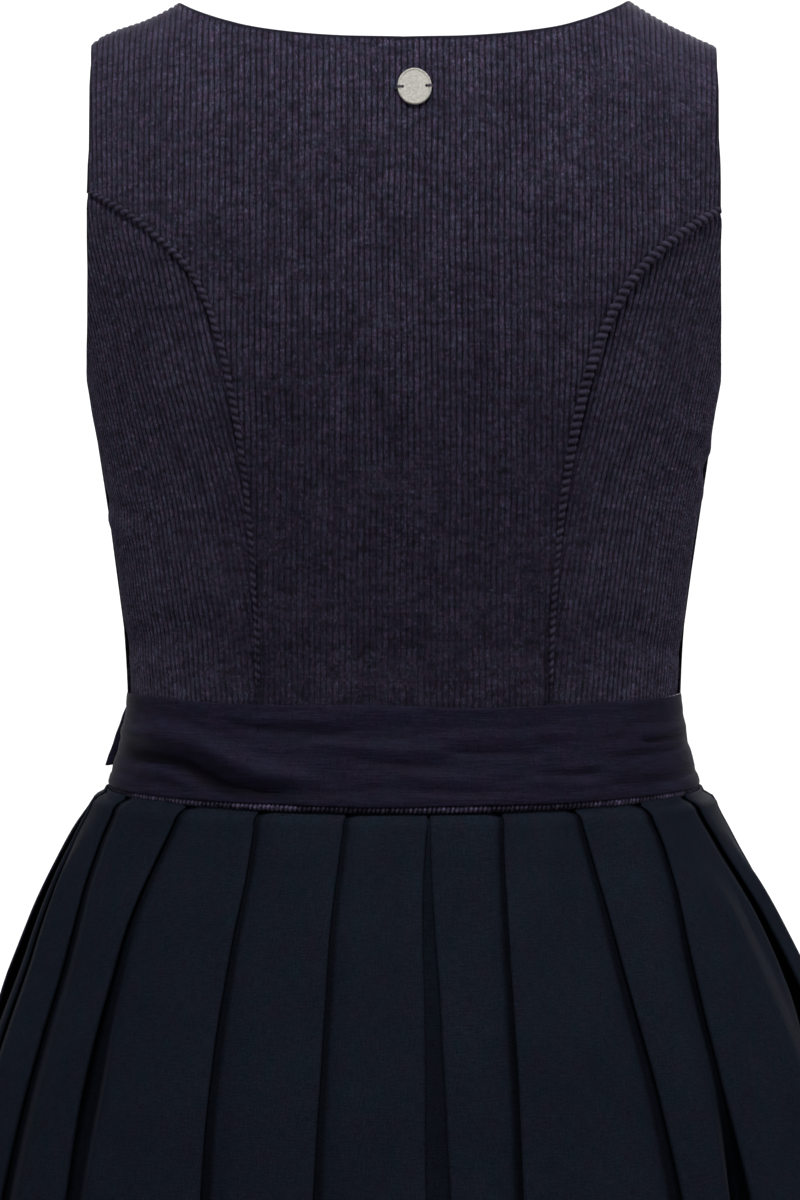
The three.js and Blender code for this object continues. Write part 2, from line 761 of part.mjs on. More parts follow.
// One turn of the skirt at a level, in girth and height over the outer form, as
// separate runs for the back and the front, which part inside the side pleats.
const FACE_STEPS = 2;
function pleats(level) {
  const ring = skirtRing(level);
  const made = { ring, back: [], front: [] };
  const place = (list, side) =>
    list.map((fold, i) => {
      const here = side * foldGirth(ring, fold, level),
        next = list[i + 1]
          ? side * foldGirth(ring, list[i + 1], level)
          : 2 * ring.total - here;
      const turn = clamp((PLEAT_CLOTH - (next - here)) / 2, 5, PLEAT_TURN);
      return { here, turn, high: foldHeight(fold, level) };
    });
  const walk = (list, side) => {
    // from the centre back outwards: hidden turn, fold edge, then the face
    const runs = [];
    list.forEach((f, i) => {
      const next = list[i + 1];
      const steps = [
        [f.here + f.turn, -f.high],
        [f.here + f.turn, -f.high / 2],
        [f.here, -f.high / 2],
        [f.here, 0],
      ];
      for (let k = 1; k < FACE_STEPS; k++) {
        const t = k / FACE_STEPS;
        steps.push([
          lerp(f.here, next ? next.here : ring.total, t),
          next ? -next.high * ease(t) : 0,
        ]);
      }
      runs.push(steps.map(([g, h]) => [side * g, h]));
    });
    return runs;
  };
  const right = walk(place(RIGHT_FOLDS, 1), 1),
    left = walk(place(LEFT_FOLDS, -1), -1);
  const r = RIGHT_SEAM_FOLD,
    l = LEFT_SEAM_FOLD;
  const outRight = right.slice(0, r).flat(),
    outLeft = left.slice(0, l).flat();
  made.back = [
    left[l][0],
    ...outLeft.reverse(),
    ...outRight,
    right[r][0],
  ];
  const wrap = ([g, h]) => [g > 0 ? g : g + 2 * ring.total, h];
  made.front = [
    ...right[r].slice(1),
    ...right.slice(r + 1).flat(),
    [ring.total, 0],
    ...[...left[l].slice(1), ...left.slice(l + 1).flat()].reverse().map(wrap),
  ];
  return made;
}
// Both faces of a strip of cloth whose middle follows a run.
function thickened(run, thick) {
  return [1, -1].map((side) =>
    run.map((p, i) => {
      const a = run[Math.max(i - 1, 0)],
        b = run[Math.min(i + 1, run.length - 1)];
      const before = [p[0] - a[0], p[1] - a[1]],
        after = [b[0] - p[0], b[1] - p[1]];
      const unit = (v) => {
        const m = Math.hypot(...v);
        return m > 1e-9 ? [v[0] / m, v[1] / m] : null;
      };
      const d0 = unit(before) ?? unit(after),
        d1 = unit(after) ?? unit(before);
      const n0 = [-d0[1], d0[0]],
        n1 = [-d1[1], d1[0]];
      const sum = [n0[0] + n1[0], n0[1] + n1[1]],
        m = Math.hypot(...sum) || 1;
      const long = Math.min(2 / m, 1.5) * (thick / 2);
      return [
        p[0] + (side * long * sum[0]) / m,
        p[1] + (side * long * sum[1]) / m,
      ];
    }),
  );
}
function ontoRing(ring, level, [girth, off], fade) {
  const p = onRing(ring, girth, off);
  const dip = (waistLevel(p.angle) - WAIST_SIDE) * fade;
  return new THREE.Vector3(p.x + (ring.lean ?? 0), p.y, level + dip);
}
{
  const LEVELS = [-407.75, -412, -422, -446, -490, -570, -720, HEM];
  for (const which of ["back", "front"]) {
    const outer = [],
      inner = [];
    for (const level of [...LEVELS].reverse()) {
      const made = pleats(level),
        fade = 1 - clamp((WAIST_SIDE - level) / 150, 0, 1);
      const [out, into] = thickened(made[which], SKIRT_CLOTH);
      outer.push(out.map((p) => ontoRing(made.ring, level, p, fade)));
      inner.push(into.map((p) => ontoRing(made.ring, level, p, fade)));
    }
    piece(`skirt_${which}`, wall(outer, inner), looks.skirt);
  }
}

// ------------------------------------------------------------------- apron
const girthAtAngle = (ring, deg) => {
  const place = (degrees(Math.abs(deg)) / Math.PI) * RING_STEPS,
    i = Math.min(Math.floor(place), RING_STEPS - 1);
  return (
    Math.sign(deg) *
    lerp(ring.points[i].girth, ring.points[i + 1].girth, place - i)
  );
};
{
  const outer = [],
    inner = [],
    COLUMNS = APRON_WAVES * 4;
  for (const line of [...APRON].reverse()) {
    const ring = skirtRing(Math.min(line.level, -407));
    const from = girthAtAngle(ring, line.edgeRight),
      to = 2 * ring.total + girthAtAngle(ring, line.edgeLeft);
    const run = Array.from({ length: COLUMNS + 1 }, (_, k) => {
      const t = k / COLUMNS;
      const swell = Math.sin(Math.PI * t) ** 0.25;
      return [
        lerp(from, to, t),
        line.off + line.wave * swell * (1 - Math.cos(2 * Math.PI * APRON_WAVES * t)),
      ];
    });
    const [out, into] = thickened(run, APRON_CLOTH);
    outer.push(out.map((p) => ontoRing(ring, line.level, p, 0)));
    inner.push(into.map((p) => ontoRing(ring, line.level, p, 0)));
  }
  piece("apron_panel", wall(outer, inner), looks.apron);
}

// The tie round the back and the apron's own band at the front.
function tiePoint(deg, share, off) {
  const angle = degrees(deg),
    level = lerp(bandTop(angle), waistLevel(angle) + BAND_FOOT, share);
  const row = rowOf(level),
    ring = torsoRing(row);
  const overPiping =
    Math.cos(angle) > 0
      ? 3 * Math.sqrt(Math.cos(angle))
      : 1.3 * Math.sqrt(-Math.cos(angle));
  return onBodice(
    girthAtAngle(ring, deg),
    row,
    look(TIE, "share", share, "off") + overPiping + off,
  );
}
function tieStrip(name, from, to, columns) {
  const grid = (off) =>
    [1, 0.67, 0.33, 0].map((share) =>
      Array.from({ length: columns + 1 }, (_, k) => {
        let deg = lerp(from, to, k / columns);
        if (deg > 180) deg -= 360;
        return tiePoint(deg, share, off);
      }),
    );
  return piece(name, wall(grid(TIE_CLOTH / 2), grid(-TIE_CLOTH / 2)), looks.tie);
}
tieStrip("tie_back", TIE_ENDS.left + 0.1, TIE_ENDS.right - 0.1, 22);
tieStrip("apron_waistband", TIE_ENDS.right + 0.1, 360 + TIE_ENDS.left - 0.1, 18);

// The bow, in the frame of its knot: along the waist, out from it, and up.
const knot = tiePoint(BOW.angle, 0.4, 0);
knot.z = BOW.level;
const knotOut = (() => {
  const ring = torsoRing(rowOf(BOW.level)),
    g = girthAtAngle(ring, BOW.angle);
  const a = onRing(ring, g),
    b = onRing(ring, g, 1);
  return new THREE.Vector3(b.x - a.x, b.y - a.y, 0).normalize();
})();
const knotAlong = new THREE.Vector3(knotOut.y, -knotOut.x, 0).negate(); // towards the side
const bowPoint = (along, out, up) =>
  knot
    .clone()
    .addScaledVector(knotAlong, along)
    .addScaledVector(knotOut, out)
    .add(new THREE.Vector3(0, 0, up));

{
  // The knot: a band drawn tight round the middle, rounded on every side.
  const ROUND = 10,
    LAYERS = [1, 0.8, 0.3, -0.3, -0.8, -1],
    sections = LAYERS.map((v) => {
      const r = Math.sqrt(Math.max(0, 1 - 0.62 * v * v));
      return Array.from({ length: ROUND }, (_, i) => {
        const a = (2 * Math.PI * i) / ROUND;
        return bowPoint(
          9.5 * r * Math.cos(a),
          10.6 + 7 * r * Math.sin(a),
          14 * v,
        );
      });
    });
  piece("bow_knot", bar(sections), looks.tie);
}
for (const loop of LOOPS) {
  // Out along the body, round the end, and back to the knot over itself.
  const STEPS = 6,
    START = 11.2,
    path = [];
  for (let k = 0; k <= STEPS; k++) {
    const t = k / STEPS;
    path.push([lerp(START, loop.reach - 4, t), 5 + 3 * Math.sin(Math.PI * t * 0.9)]);
  }
  path.push([loop.reach, path.at(-1)[1] + 3.6]);
  for (let k = STEPS; k >= 0; k--) {
    const t = k / STEPS;
    path.push([
      lerp(START, loop.reach - 4, t),
      lerp(15, 13, t) + loop.belly * 0.55 * Math.sin(Math.PI * t) ** 0.8,
    ]);
  }
  const [out, into] = thickened(path, TIE_CLOTH);
  const across = [-0.5, 0, 0.5];
  const grid = (line) =>
    across.map((v) =>
      line.map(([along, off]) => {
        const t = clamp((along - START) / (loop.reach - START), 0, 1.1);
        const wide = lerp(17, loop.wide, ease(clamp(t * 1.5, 0, 1)));
        const skew = -v * loop.skew * t;
        return bowPoint(
          loop.way * (along + skew),
          off,
          -loop.droop * t * t + v * wide,
        );
      }),
    );
  const faces = loop.way > 0 ? [grid(out), grid(into)] : [grid(into), grid(out)];
  piece(loop.name, wall(faces[0], faces[1]), looks.tie);
}
for (const tail of TAILS) {
  // From under the knot down over the apron, cut off at a slant.
  const STEPS = 9,
    ACROSS = [-0.5, -0.25, 0, 0.25, 0.5];
  const grid = (side) =>
    Array.from({ length: STEPS + 1 }, (_, k) => STEPS - k).map((k) =>
      ACROSS.map((v) => {
        const t = k / STEPS,
          drop = 17 + tail.long * t + v * 22 * ease(clamp((t - 0.6) / 0.4, 0, 1));
        const level = BOW.level - drop;
        const ring = skirtRing(Math.min(level, -407));
        const middle =
          girthAtAngle(ring, BOW.angle) + tail.aside * Math.min(1, t * 4 + 0.15);
        const wide = lerp(15, tail.wide, ease(clamp(t * 5, 0, 1)));
        const base = lerp(10.5, 3.6 + 2 * look(APRON, "level", Math.min(level, -404.5), "wave"), ease(clamp(t * 3, 0, 1)));
        const curl = 3.2 * Math.cos(2 * Math.PI * v) * ease(clamp(t * 3, 0, 1));
        return ontoRing(
          ring,
          level,
          [
            middle + v * wide,
            base + lerp(tail.off * 0.42 - 3, tail.off - 6, ease(clamp(t * 3, 0, 1))) + curl + (side * TIE_CLOTH) / 2,
          ],
          0,
        );
      }),
    );
  piece(tail.name, wall(grid(1), grid(-1)), looks.tie);
}

// The oval metal plate sewn on below the neckline, with its two thread holes.
{
  const row = rowOf(BADGE.level),
    ring = torsoRing(row);
  const girth = girthWhere(ring, "x", BADGE.x);
  const plate = new THREE.Shape().absellipse(0, 0, BADGE.half, BADGE.tall, 0, 2 * Math.PI);
  for (const side of [-1, 1])
    plate.holes.push(
      new THREE.Path().absellipse(side * BADGE.holeAt, 0, BADGE.hole, BADGE.hole, 0, 2 * Math.PI, true),
    );
  const geometry = new THREE.ExtrudeGeometry(plate, {
    depth: BADGE.thick,
    bevelEnabled: false,
    curveSegments: 8,
  });
  const badge = piece("badge", geometry, looks.metal);
  const out = bodyNormal(girth, row);
  badge.position.copy(onBodice(girth, row, 1.1));
  const up = new THREE.Vector3(Math.sin(degrees(BADGE.lean)), 0, 1)
    .addScaledVector(out, -out.z)
    .normalize();
  const right = up.clone().cross(out).normalize();
  badge.quaternion.setFromRotationMatrix(new THREE.Matrix4().makeBasis(right, up, out));
}

export default dirndl;
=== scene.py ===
"""The dirndl's visual model: a hollow, worn dress seen from behind.

Every piece is worked out here from named sizes in millimetres, in the row frame
(+Z up, the back faces -Y), and is made in metres.
"""

import math

import bpy
import numpy as np
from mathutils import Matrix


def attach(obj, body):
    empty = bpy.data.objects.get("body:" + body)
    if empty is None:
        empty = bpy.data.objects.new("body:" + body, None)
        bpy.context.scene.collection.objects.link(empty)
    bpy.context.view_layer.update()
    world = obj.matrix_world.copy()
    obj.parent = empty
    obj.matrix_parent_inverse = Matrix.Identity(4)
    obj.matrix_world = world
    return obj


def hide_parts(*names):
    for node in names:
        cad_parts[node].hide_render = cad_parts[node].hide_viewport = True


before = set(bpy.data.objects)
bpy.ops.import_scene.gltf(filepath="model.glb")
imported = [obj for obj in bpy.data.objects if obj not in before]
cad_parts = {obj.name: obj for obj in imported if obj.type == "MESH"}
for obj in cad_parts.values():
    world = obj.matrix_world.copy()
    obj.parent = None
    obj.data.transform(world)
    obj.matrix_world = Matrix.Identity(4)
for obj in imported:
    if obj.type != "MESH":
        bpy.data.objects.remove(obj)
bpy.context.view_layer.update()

# ------------------------------------------------------------------ sizes, mm
NECK_HALF, SHOULDER_HALF = 119.0, 165.0
NECK_RISE, NAPE_RISE, SHOULDER_FALL, RISE_ENDS = 10.3, 11.2, 0.485, -130.0
UNDERARM, WAIST_SIDE, WAIST_DIP = -193.0, -407.0, 8.0
HEM = WAIST_SIDE - 600.0
APRON_HEM = HEM + 48.0
BAND_TOP, BAND_TOP_DIP, BAND_FOOT = -355.0, 6.0, 3.2
WALE = 3.08  # corduroy rib to rib, 8 to an inch and a little
WALE_HIGH = 0.85
RIDGE_ROW = 0.006

TORSO = np.array(
    [  # level, half, back, front, nBack, nFront
        [0, 188, 0, 0, 2.8, 2.5],
        [-3.8, 188, 25, 22, 2.8, 2.5],
        [-14.7, 188, 49, 42, 2.8, 2.5],
        [-32, 188, 69, 58, 2.8, 2.5],
        [-55, 187, 84, 70, 2.8, 2.45],
        [-82, 186, 93, 81, 2.8, 2.4],
        [-112, 183.4, 98.5, 91, 2.75, 2.35],
        [-140, 177.3, 101.3, 100, 2.65, 2.3],
        [-167, 171.5, 102.7, 107, 2.54, 2.25],
        [-193, 167, 102.8, 111, 2.42, 2.2],
        [-221, 162, 101, 112, 2.35, 2.2],
        [-250, 157, 98, 110, 2.3, 2.2],
        [-280, 152.6, 95, 106, 2.3, 2.2],
        [-310, 148.8, 93, 101, 2.3, 2.2],
        [-336, 145.4, 92.6, 97, 2.3, 2.2],
        [-357, 144.2, 94, 95, 2.3, 2.2],
        [-380, 146.5, 97.5, 95.5, 2.28, 2.2],
        [-404, 151, 102, 98, 2.25, 2.2],
        [-430, 157, 107, 102, 2.22, 2.2],
    ],
    float,
)
BUST = dict(level=-232.0, x=78.0, high=15.0, wide=36.0, tall=42.0)
ARMHOLE = np.array(
    [  # level, back, front
        [0, 0, 0],
        [-3.8, -17, 14],
        [-14.7, -33, 27],
        [-32, -46.5, 38],
        [-55, -57, 49],
        [-82, -61.5, 57],
        [-112, -62, 60],
        [-140, -55, 54],
        [-165, -43, 41],
        [-182, -29, 25],
        [-190, -15, 12],
        [UNDERARM, 0, 0],
    ],
    float,
)
STRAP_ROW = 2
NECKLINE = np.array(
    [  # x, back, front
        [0, -36.5, -125],
        [30, -35.4, -122.5],
        [55, -32.4, -114],
        [77, -27.4, -101],
        [91, -21.6, -84],
        [102, -15.4, -64],
        [111.5, -8.2, -34],
        [NECK_HALF, 0, 0],
    ],
    float,
)
BACK_PRINCESS_L = np.array(
    [  # x, level
        [77, -417],
        [74.6, -375],
        [74.3, -345],
        [75, -317],
        [76.5, -295],
        [78.8, -262],
        [82, -233],
        [86, -208],
        [90, -188],
        [94.8, -170],
        [101, -153],
        [110.5, -137],
        [125, -122.5],
        [142, -109],
        [160, -97],
        [171, -90],
    ],
    float,
)
BACK_PRINCESS_R = np.array(
    [
        [74.5, -417],
        [73.6, -380],
        [74.1, -350],
        [75.4, -317],
        [77.5, -287],
        [80.5, -256],
        [84.8, -227],
        [88.8, -207.5],
        [92.6, -193],
        [97.3, -178.5],
        [103.8, -163.5],
        [111.8, -149],
        [120.8, -137.5],
        [131.5, -127],
        [144.5, -117],
        [160, -106.5],
        [172, -99],
    ],
    float,
)
RIDGE_SHIFT = np.array(
    [  # x, how much lower or higher the shoulders lie than a straight slope
        [-175, -2.0],
        [-165, -0.9],
        [-159, 0.9],
        [-150, 0.2],
        [-138, -1.8],
        [-127, -2.1],
        [-117, -1.9],
        [-100, -0.9],
        [-80, 0],
        [80, 0],
        [105, -0.4],
        [121, -0.9],
        [130, -2.3],
        [139.5, -3.1],
        [150, -2.7],
        [162, -1.9],
        [175, -2.4],
    ],
    float,
)
FRONT_PRINCESS = np.array(
    [
        [62, -410],
        [60, -375],
        [63, -335],
        [69, -295],
        [76, -260],
        [83, -230],
        [92, -200],
        [104, -170],
        [118, -145],
        [134, -127],
        [154, -112],
    ],
    float,
)
SKIRT = np.array(
    [  # level, half, back, front, n, lean
        [-407, 156, 104.6, 100.6, 2.24, 0],
        [-410, 161.6, 109.5, 104, 2.23, 0],
        [-416, 165.6, 113.4, 106.6, 2.21, 0],
        [-424, 170.4, 117.2, 109.4, 2.19, 0],
        [-436, 176.6, 121.5, 113, 2.17, 0.2],
        [-450, 184.0, 127.5, 117.5, 2.15, 0.7],
        [-466, 191.6, 134, 122.5, 2.13, 1.6],
        [-482, 198.4, 139.8, 127.5, 2.11, 2.6],
        [-495, 203.6, 144.5, 131.5, 2.1, 3.6],
        [-526, 216.0, 155, 141, 2.09, 4.6],
        [-570, 231.5, 168.5, 154, 2.07, 5],
        [-625, 246, 184, 169, 2.06, 5],
        [-700, 262, 202, 187, 2.05, 5],
        [-800, 281, 222, 207, 2.04, 5],
        [-900, 297, 240, 225, 2.03, 5],
        [HEM, 311, 256, 241, 2.02, 5],
    ],
    float,
)
FOLD_LEVELS = np.array([WAIST_SIDE, -425.0, -445.0, -470.0, -500.0, -550.0, -607.0, HEM])
LEFT_FOLDS = np.array(
    [  # the fold edge's angle from the centre back at each level
        [4.1, 3.3, 2.6, 2.0, 1.5, 1.2, 1.3, 1.0],
        [-10.8, -10.9, -11.2, -11.7, -12.1, -12.1, -12.0, -12.4],
        [-27.2, -26.4, -26.1, -26.5, -27.0, -26.6, -25.7, -27],
        [-43, -43.9, -45.1, -46.4, -47.2, -46.9, -45.7, -45],
        [-63.6, -63.6, -62.4, -60.9, -60.6, -59.9, -59.3, -62],
        [-83.5, -83.5, -83, -82, -81, -80, -80, -82],
        [-106, -106, -105.5, -105, -105, -104, -104, -105],
        [-129, -129, -129, -129, -129, -128, -128, -129],
        [-153, -153, -153, -152, -152, -151, -151, -152],
    ],
    float,
)
RIGHT_FOLDS = np.array(
    [
        [4.8, 4.6, 4.4, 4.2, 4.0, 4.0, 4.3, 5.6],
        [18.0, 17.0, 16.1, 15.1, 14.1, 13.3, 12.9, 14],
        [32.2, 32.3, 32.1, 31.8, 31.6, 32.2, 33.3, 34],
        [47.9, 48.6, 47.6, 45.6, 43.9, 42.9, 43.6, 46],
        [65.2, 67.6, 69.8, 72.8, 75.2, 77.4, 78.4, 79.4],
        [88, 89, 90, 91, 92, 93, 94, 94],
        [110, 111, 111.5, 112, 112, 112, 112, 113],
        [131, 131, 131, 131, 131, 131, 131, 132],
        [155, 155, 154, 154, 154, 154, 154, 155],
    ],
    float,
)
# How far each fold edge stands off the cloth under it, at the waist, -500, -607 and the hem
LEFT_HIGH = np.array(
    [
        [3, 5.2, 5.6, 6, 9],
        [3, 4.4, 5, 5.5, 10],
        [3, 4.6, 5.4, 6, 11],
        [3, 7.0, 11, 9.5, 18],
        [3, 4, 4.6, 5.4, 12],
        [2.7, 3.0, 3.6, 4.6, 11],
        [3, 5, 6.5, 8, 13],
        [3, 6, 7, 8, 13],
        [3, 6, 6.5, 7, 12],
    ],
    float,
)
RIGHT_HIGH = np.array(
    [
        [3, 6, 7, 8, 11],
        [3, 4.6, 5, 5.5, 9],
        [3, 5.5, 7, 9.5, 14],
        [3, 5, 6.5, 17, 20],
        [3, 9, 19, 25, 26],
        [3, 5, 6.5, 8, 13],
        [3, 6, 7, 8, 13],
        [3, 6, 7, 8, 13],
        [3, 6, 6.5, 7, 12],
    ],
    float,
)
# How wide the strip is over which the cloth dips under the next fold, at the same levels
LEFT_DIP = np.array(
    [
        [9, 14, 15, 16, 26],
        [9, 14, 15, 16, 26],
        [9, 15, 16, 17, 28],
        [9, 14, 18, 16, 34],
        [9, 15, 17, 18, 28],
        [9, 16, 19, 22, 30],
        [9, 16, 19, 22, 30],
        [9, 16, 19, 22, 30],
        [9, 14, 16, 18, 26],
    ],
    float,
)
RIGHT_DIP = np.array(
    [
        [9, 12, 13, 14, 24],
        [9, 13, 14, 15, 26],
        [9, 13, 15, 16, 30],
        [9, 13, 14, 16, 30],
        [9, 17, 40, 64, 66],
        [9, 16, 19, 22, 30],
        [9, 16, 19, 22, 30],
        [9, 16, 19, 22, 30],
        [9, 14, 16, 18, 26],
    ],
    float,
)
SHAPE_LEVELS = np.array([WAIST_SIDE, -500.0, -560.0, -607.0, HEM])
SIDE_FOLD = 5
APRON = np.array(
    [  # level, left edge, right edge, off, wave
        [-404.5, -101, 104, 2.6, 1.1],
        [-418, -98, 103.5, 2.8, 1.5],
        [-440, -93, 103, 3.6, 2.4],
        [-475, -90, 103, 4.6, 3.4],
        [-540, -88, 103.5, 5.6, 5],
        [-650, -88, 104, 6.2, 7.5],
        [-800, -89.5, 105, 6.9, 9],
        [APRON_HEM, -91.5, 106, 7.6, 10.5],
    ],
    float,
)
TIE = np.array([[0, 1.4], [0.25, 1.9], [0.5, 2.9], [0.75, 4.0], [1, 4.8]], float)
TIE_ENDS = (-97.0, 99.0)
BOW_ANGLE, BOW_LEVEL = -140.0, -374.0


# ------------------------------------------------------------------- numbers
def catmull(tab, r):
    """The table's columns at real-numbered rows r, smooth through every row."""
    n = len(tab) - 1
    r = np.clip(np.asarray(r, float), 0, n)
    i = np.minimum(np.floor(r).astype(int), n - 1)
    t = (r - i)[..., None] if tab.ndim > 1 else r - i
    p0, p1, p2, p3 = tab[np.clip(i - 1, 0, n)], tab[i], tab[i + 1], tab[np.clip(i + 2, 0, n)]
    return p1 + 0.5 * t * (
        p2 - p0 + t * (2 * p0 - 5 * p1 + 4 * p2 - p3 + t * (3 * (p1 - p2) + p3 - p0))
    )


class Falling:
    """The real-numbered row of a table where its first column, which falls, has a value."""

    def __init__(self, tab):
        self.r = np.linspace(0, len(tab) - 1, 6000)
        self.v = -catmull(tab, self.r)[:, 0]

    def __call__(self, value):
        return np.interp(-np.asarray(value, float), self.v, self.r)


def through(levels, values, level):
    """A smooth curve through values given at levels, which fall."""
    x = -np.asarray(levels, float)
    v = np.asarray(values, float)
    d = np.diff(v) / np.diff(x)
    m = np.zeros_like(v)
    h = np.diff(x)
    m[1:-1] = (d[:-1] * h[1:] + d[1:] * h[:-1]) / (h[1:] + h[:-1])
    m[0], m[-1] = d[0], d[-1]
    q = float(np.clip(-level, x[0], x[-1]))
    i = int(np.clip(np.searchsorted(x, q) - 1, 0, len(x) - 2))
    t = (q - x[i]) / h[i]
    return (
        v[i] * (1 + 2 * t) * (1 - t) ** 2
        + m[i] * h[i] * t * (1 - t) ** 2
        + v[i + 1] * t * t * (3 - 2 * t)
        + m[i + 1] * h[i] * t * t * (t - 1)
    )


def smooth(t):
    t = np.clip(t, 0, 1)
    return t * t * (3 - 2 * t)


def lerp(a, b, t):
    return a + (b - a) * t


_lattice = np.random.RandomState(7).uniform(-1, 1, (256, 256))


def noise(x, y, seed=0):
    """Smooth noise from -1 to 1 over a plane."""
    x = np.asarray(x, float) + 17.3 * seed
    y = np.asarray(y, float) + 41.7 * seed
    i, j = np.floor(x).astype(int), np.floor(y).astype(int)
    u, v = smooth(x - i), smooth(y - j)
    n = lambda a, b: _lattice[(i + a) % 256, (j + b) % 256]
    return lerp(lerp(n(0, 0), n(1, 0), u), lerp(n(0, 1), n(1, 1), u), v)


def half_ring(half, back, front, n_back, n_front, steps=720):
    """A half ring from the centre back through the side to the centre front: x, y, girth."""
    a = np.linspace(0, math.pi, steps + 1)
    behind = a <= math.pi / 2 + 1e-9
    n = np.where(behind, n_back, n_front)
    s, c = np.sin(a), np.cos(a)
    r = (np.abs(s) ** n + np.abs(c) ** n) ** (-1 / n)
    x = half * r * s
    y = -np.where(behind, back, front) * r * c
    g = np.concatenate([[0], np.cumsum(np.hypot(np.diff(x), np.diff(y)))])
    return x, y, g, a


# ------------------------------------------------------- the body, as a surface
row_of = Falling(TORSO)
NR, NQ = 900, 401
_rr = np.linspace(0, len(TORSO) - 1, NR)
_par = catmull(TORSO, _rr)
_X, _Y = np.zeros((NR, NQ)), np.zeros((NR, NQ))
_TOT, _SIDE = np.zeros(NR), np.zeros(NR)
for _k in range(NR):
    _x, _y, _g, _a = half_ring(*_par[_k, 1:])
    _TOT[_k], _SIDE[_k] = _g[-1], _g[360]
    _q = np.linspace(0, 1, NQ) * _g[-1]
    _X[_k], _Y[_k] = np.interp(_q, _g, _x), np.interp(_q, _g, _y)


def at_row(table, row):
    return np.interp(row, _rr, table)


def shoulder_rise(x):
    d = np.abs(x) - NECK_HALF
    # the corner where the slope meets the neck is a little rounded
    sharp = np.where(d > 0, -SHOULDER_FALL * d, NAPE_RISE * (1 - (x / NECK_HALF) ** 2))
    return NECK_RISE + sharp + np.interp(x, RIDGE_SHIFT[:, 0], RIDGE_SHIFT[:, 1])


def skin(g, row):
    """The body under the bodice, at a girth from the centre back and a row of TORSO."""
    g, row = np.broadcast_arrays(np.asarray(g, float), np.asarray(row, float))
    r = np.clip(row, 0, len(TORSO) - 1) / (len(TORSO) - 1) * (NR - 1)
    i = np.minimum(r.astype(int), NR - 2)
    t = r - i
    tot, side = lerp(_TOT[i], _TOT[i + 1], t), lerp(_SIDE[i], _SIDE[i + 1], t)
    sign, a = np.where(g < 0, -1.0, 1.0), np.abs(g)
    over = a > tot
    a, sign = np.where(over, 2 * tot - a, a), np.where(over, -sign, sign)
    q = np.clip(a / tot, 0, 1) * (NQ - 1)
    j = np.minimum(q.astype(int), NQ - 2)
    u = q - j
    pick = lambda T: lerp(lerp(T[i, j], T[i, j + 1], u), lerp(T[i + 1, j], T[i + 1, j + 1], u), t)
    x, y = pick(_X) * sign, pick(_Y)
    level = np.interp(row, _rr, _par[:, 0])
    rise = np.where(level > RISE_ENDS, (1 + np.cos(math.pi * level / RISE_ENDS)) / 2, 0)
    lift = BUST["high"] * np.exp(
        -0.5 * (((np.abs(x) - BUST["x"]) / BUST["wide"]) ** 2 + ((level - BUST["level"]) / BUST["tall"]) ** 2)
    )
    y = y + np.where(a > side, lift * smooth(y / 60), 0)
    return np.stack([x, y, level + rise * shoulder_rise(x)], -1)


def unit(v):
    return v / np.maximum(np.linalg.norm(v, axis=-1, keepdims=True), 1e-9)


def skin_normal(g, row):
    row = np.asarray(row, float)
    lo = np.maximum(row, 0.004)
    along = skin(g + 0.9, lo) - skin(np.asarray(g) - 0.9, lo)
    down = skin(g, row + 0.045) - skin(g, np.maximum(row - 0.045, 0.004))
    n = -np.cross(along, down)
    n = unit(n)
    n[..., 1] *= np.clip(row / 0.3, 0, 1)
    return unit(n)


def ring_girth(row, column, value, front):
    """The girth at a row where the half ring has a value of x or y."""
    p = catmull(TORSO, row)
    x, y, g, a = half_ring(*p[1:])
    v = {"x": x, "y": y}[column]
    part = slice(360, 721) if front else slice(0, 361)
    v, g = v[part], g[part]
    if v[0] > v[-1]:
        v, g = v[::-1], g[::-1]
    return float(np.interp(value, v, g))


# arc length down the body from the shoulder ridge, for the back and the front
_S_BACK = np.concatenate([[0], np.cumsum(np.hypot(np.diff(_par[:, 0]), np.diff(_par[:, 2])))])
_S_FRONT = np.concatenate([[0], np.cumsum(np.hypot(np.diff(_par[:, 0]), np.diff(_par[:, 3])))])


def s_of(row, front):
    return np.interp(row, _rr, _S_FRONT if front else _S_BACK)


def row_of_s(s, front):
    return np.interp(s, _S_FRONT if front else _S_BACK, _rr)


def waist_level(angle):
    return WAIST_SIDE - WAIST_DIP * np.maximum(0, np.cos(angle)) ** 1.3


def band_top(angle):
    return BAND_TOP - BAND_TOP_DIP * np.maximum(0, np.cos(angle)) ** 1.3


def princess(table, front, n=260):
    v = catmull(table, np.linspace(0, len(table) - 1, n))
    rows = row_of(v[:, 1])
    return np.array([[ring_girth(r, "x", x, front), r] for x, r in zip(v[:, 0], rows)])


def armhole(front, n=260):
    col = 2 if front else 1
    low = ARMHOLE[STRAP_ROW]
    low_row = float(row_of(low[0]))
    low_x = abs(float(skin(ring_girth(low_row, "y", low[col], front), low_row)[0]))
    out = []
    for v in catmull(ARMHOLE, np.linspace(0, len(ARMHOLE) - 1, n)):
        row = max(float(row_of(v[0])), RIDGE_ROW)
        share = v[0] / low[0]
        if share < 1:
            g = ring_girth(row, "x", lerp(SHOULDER_HALF, low_x, max(0, share)), front)
        else:
            g = ring_girth(row, "y", v[col], front)
        out.append([g, row])
    return np.array(out)


def neckline(front, n=200):
    out = []
    for v in catmull(NECKLINE, np.linspace(0, len(NECKLINE) - 1, n)):
        row = max(float(row_of(v[2 if front else 1])), RIDGE_ROW)
        out.append([ring_girth(row, "x", v[0], front), row])
    return np.array(out)


def shoulder(front, n=20):
    return np.array(
        [[ring_girth(RIDGE_ROW, "x", x, front), RIDGE_ROW] for x in np.linspace(NECK_HALF, SHOULDER_HALF, n)]
    )


_wx, _wy, _wg, _wa = half_ring(*catmull(TORSO, row_of(WAIST_SIDE))[1:])


def angle_at_waist(g):
    return np.interp(np.abs(g), _wg, _wa)


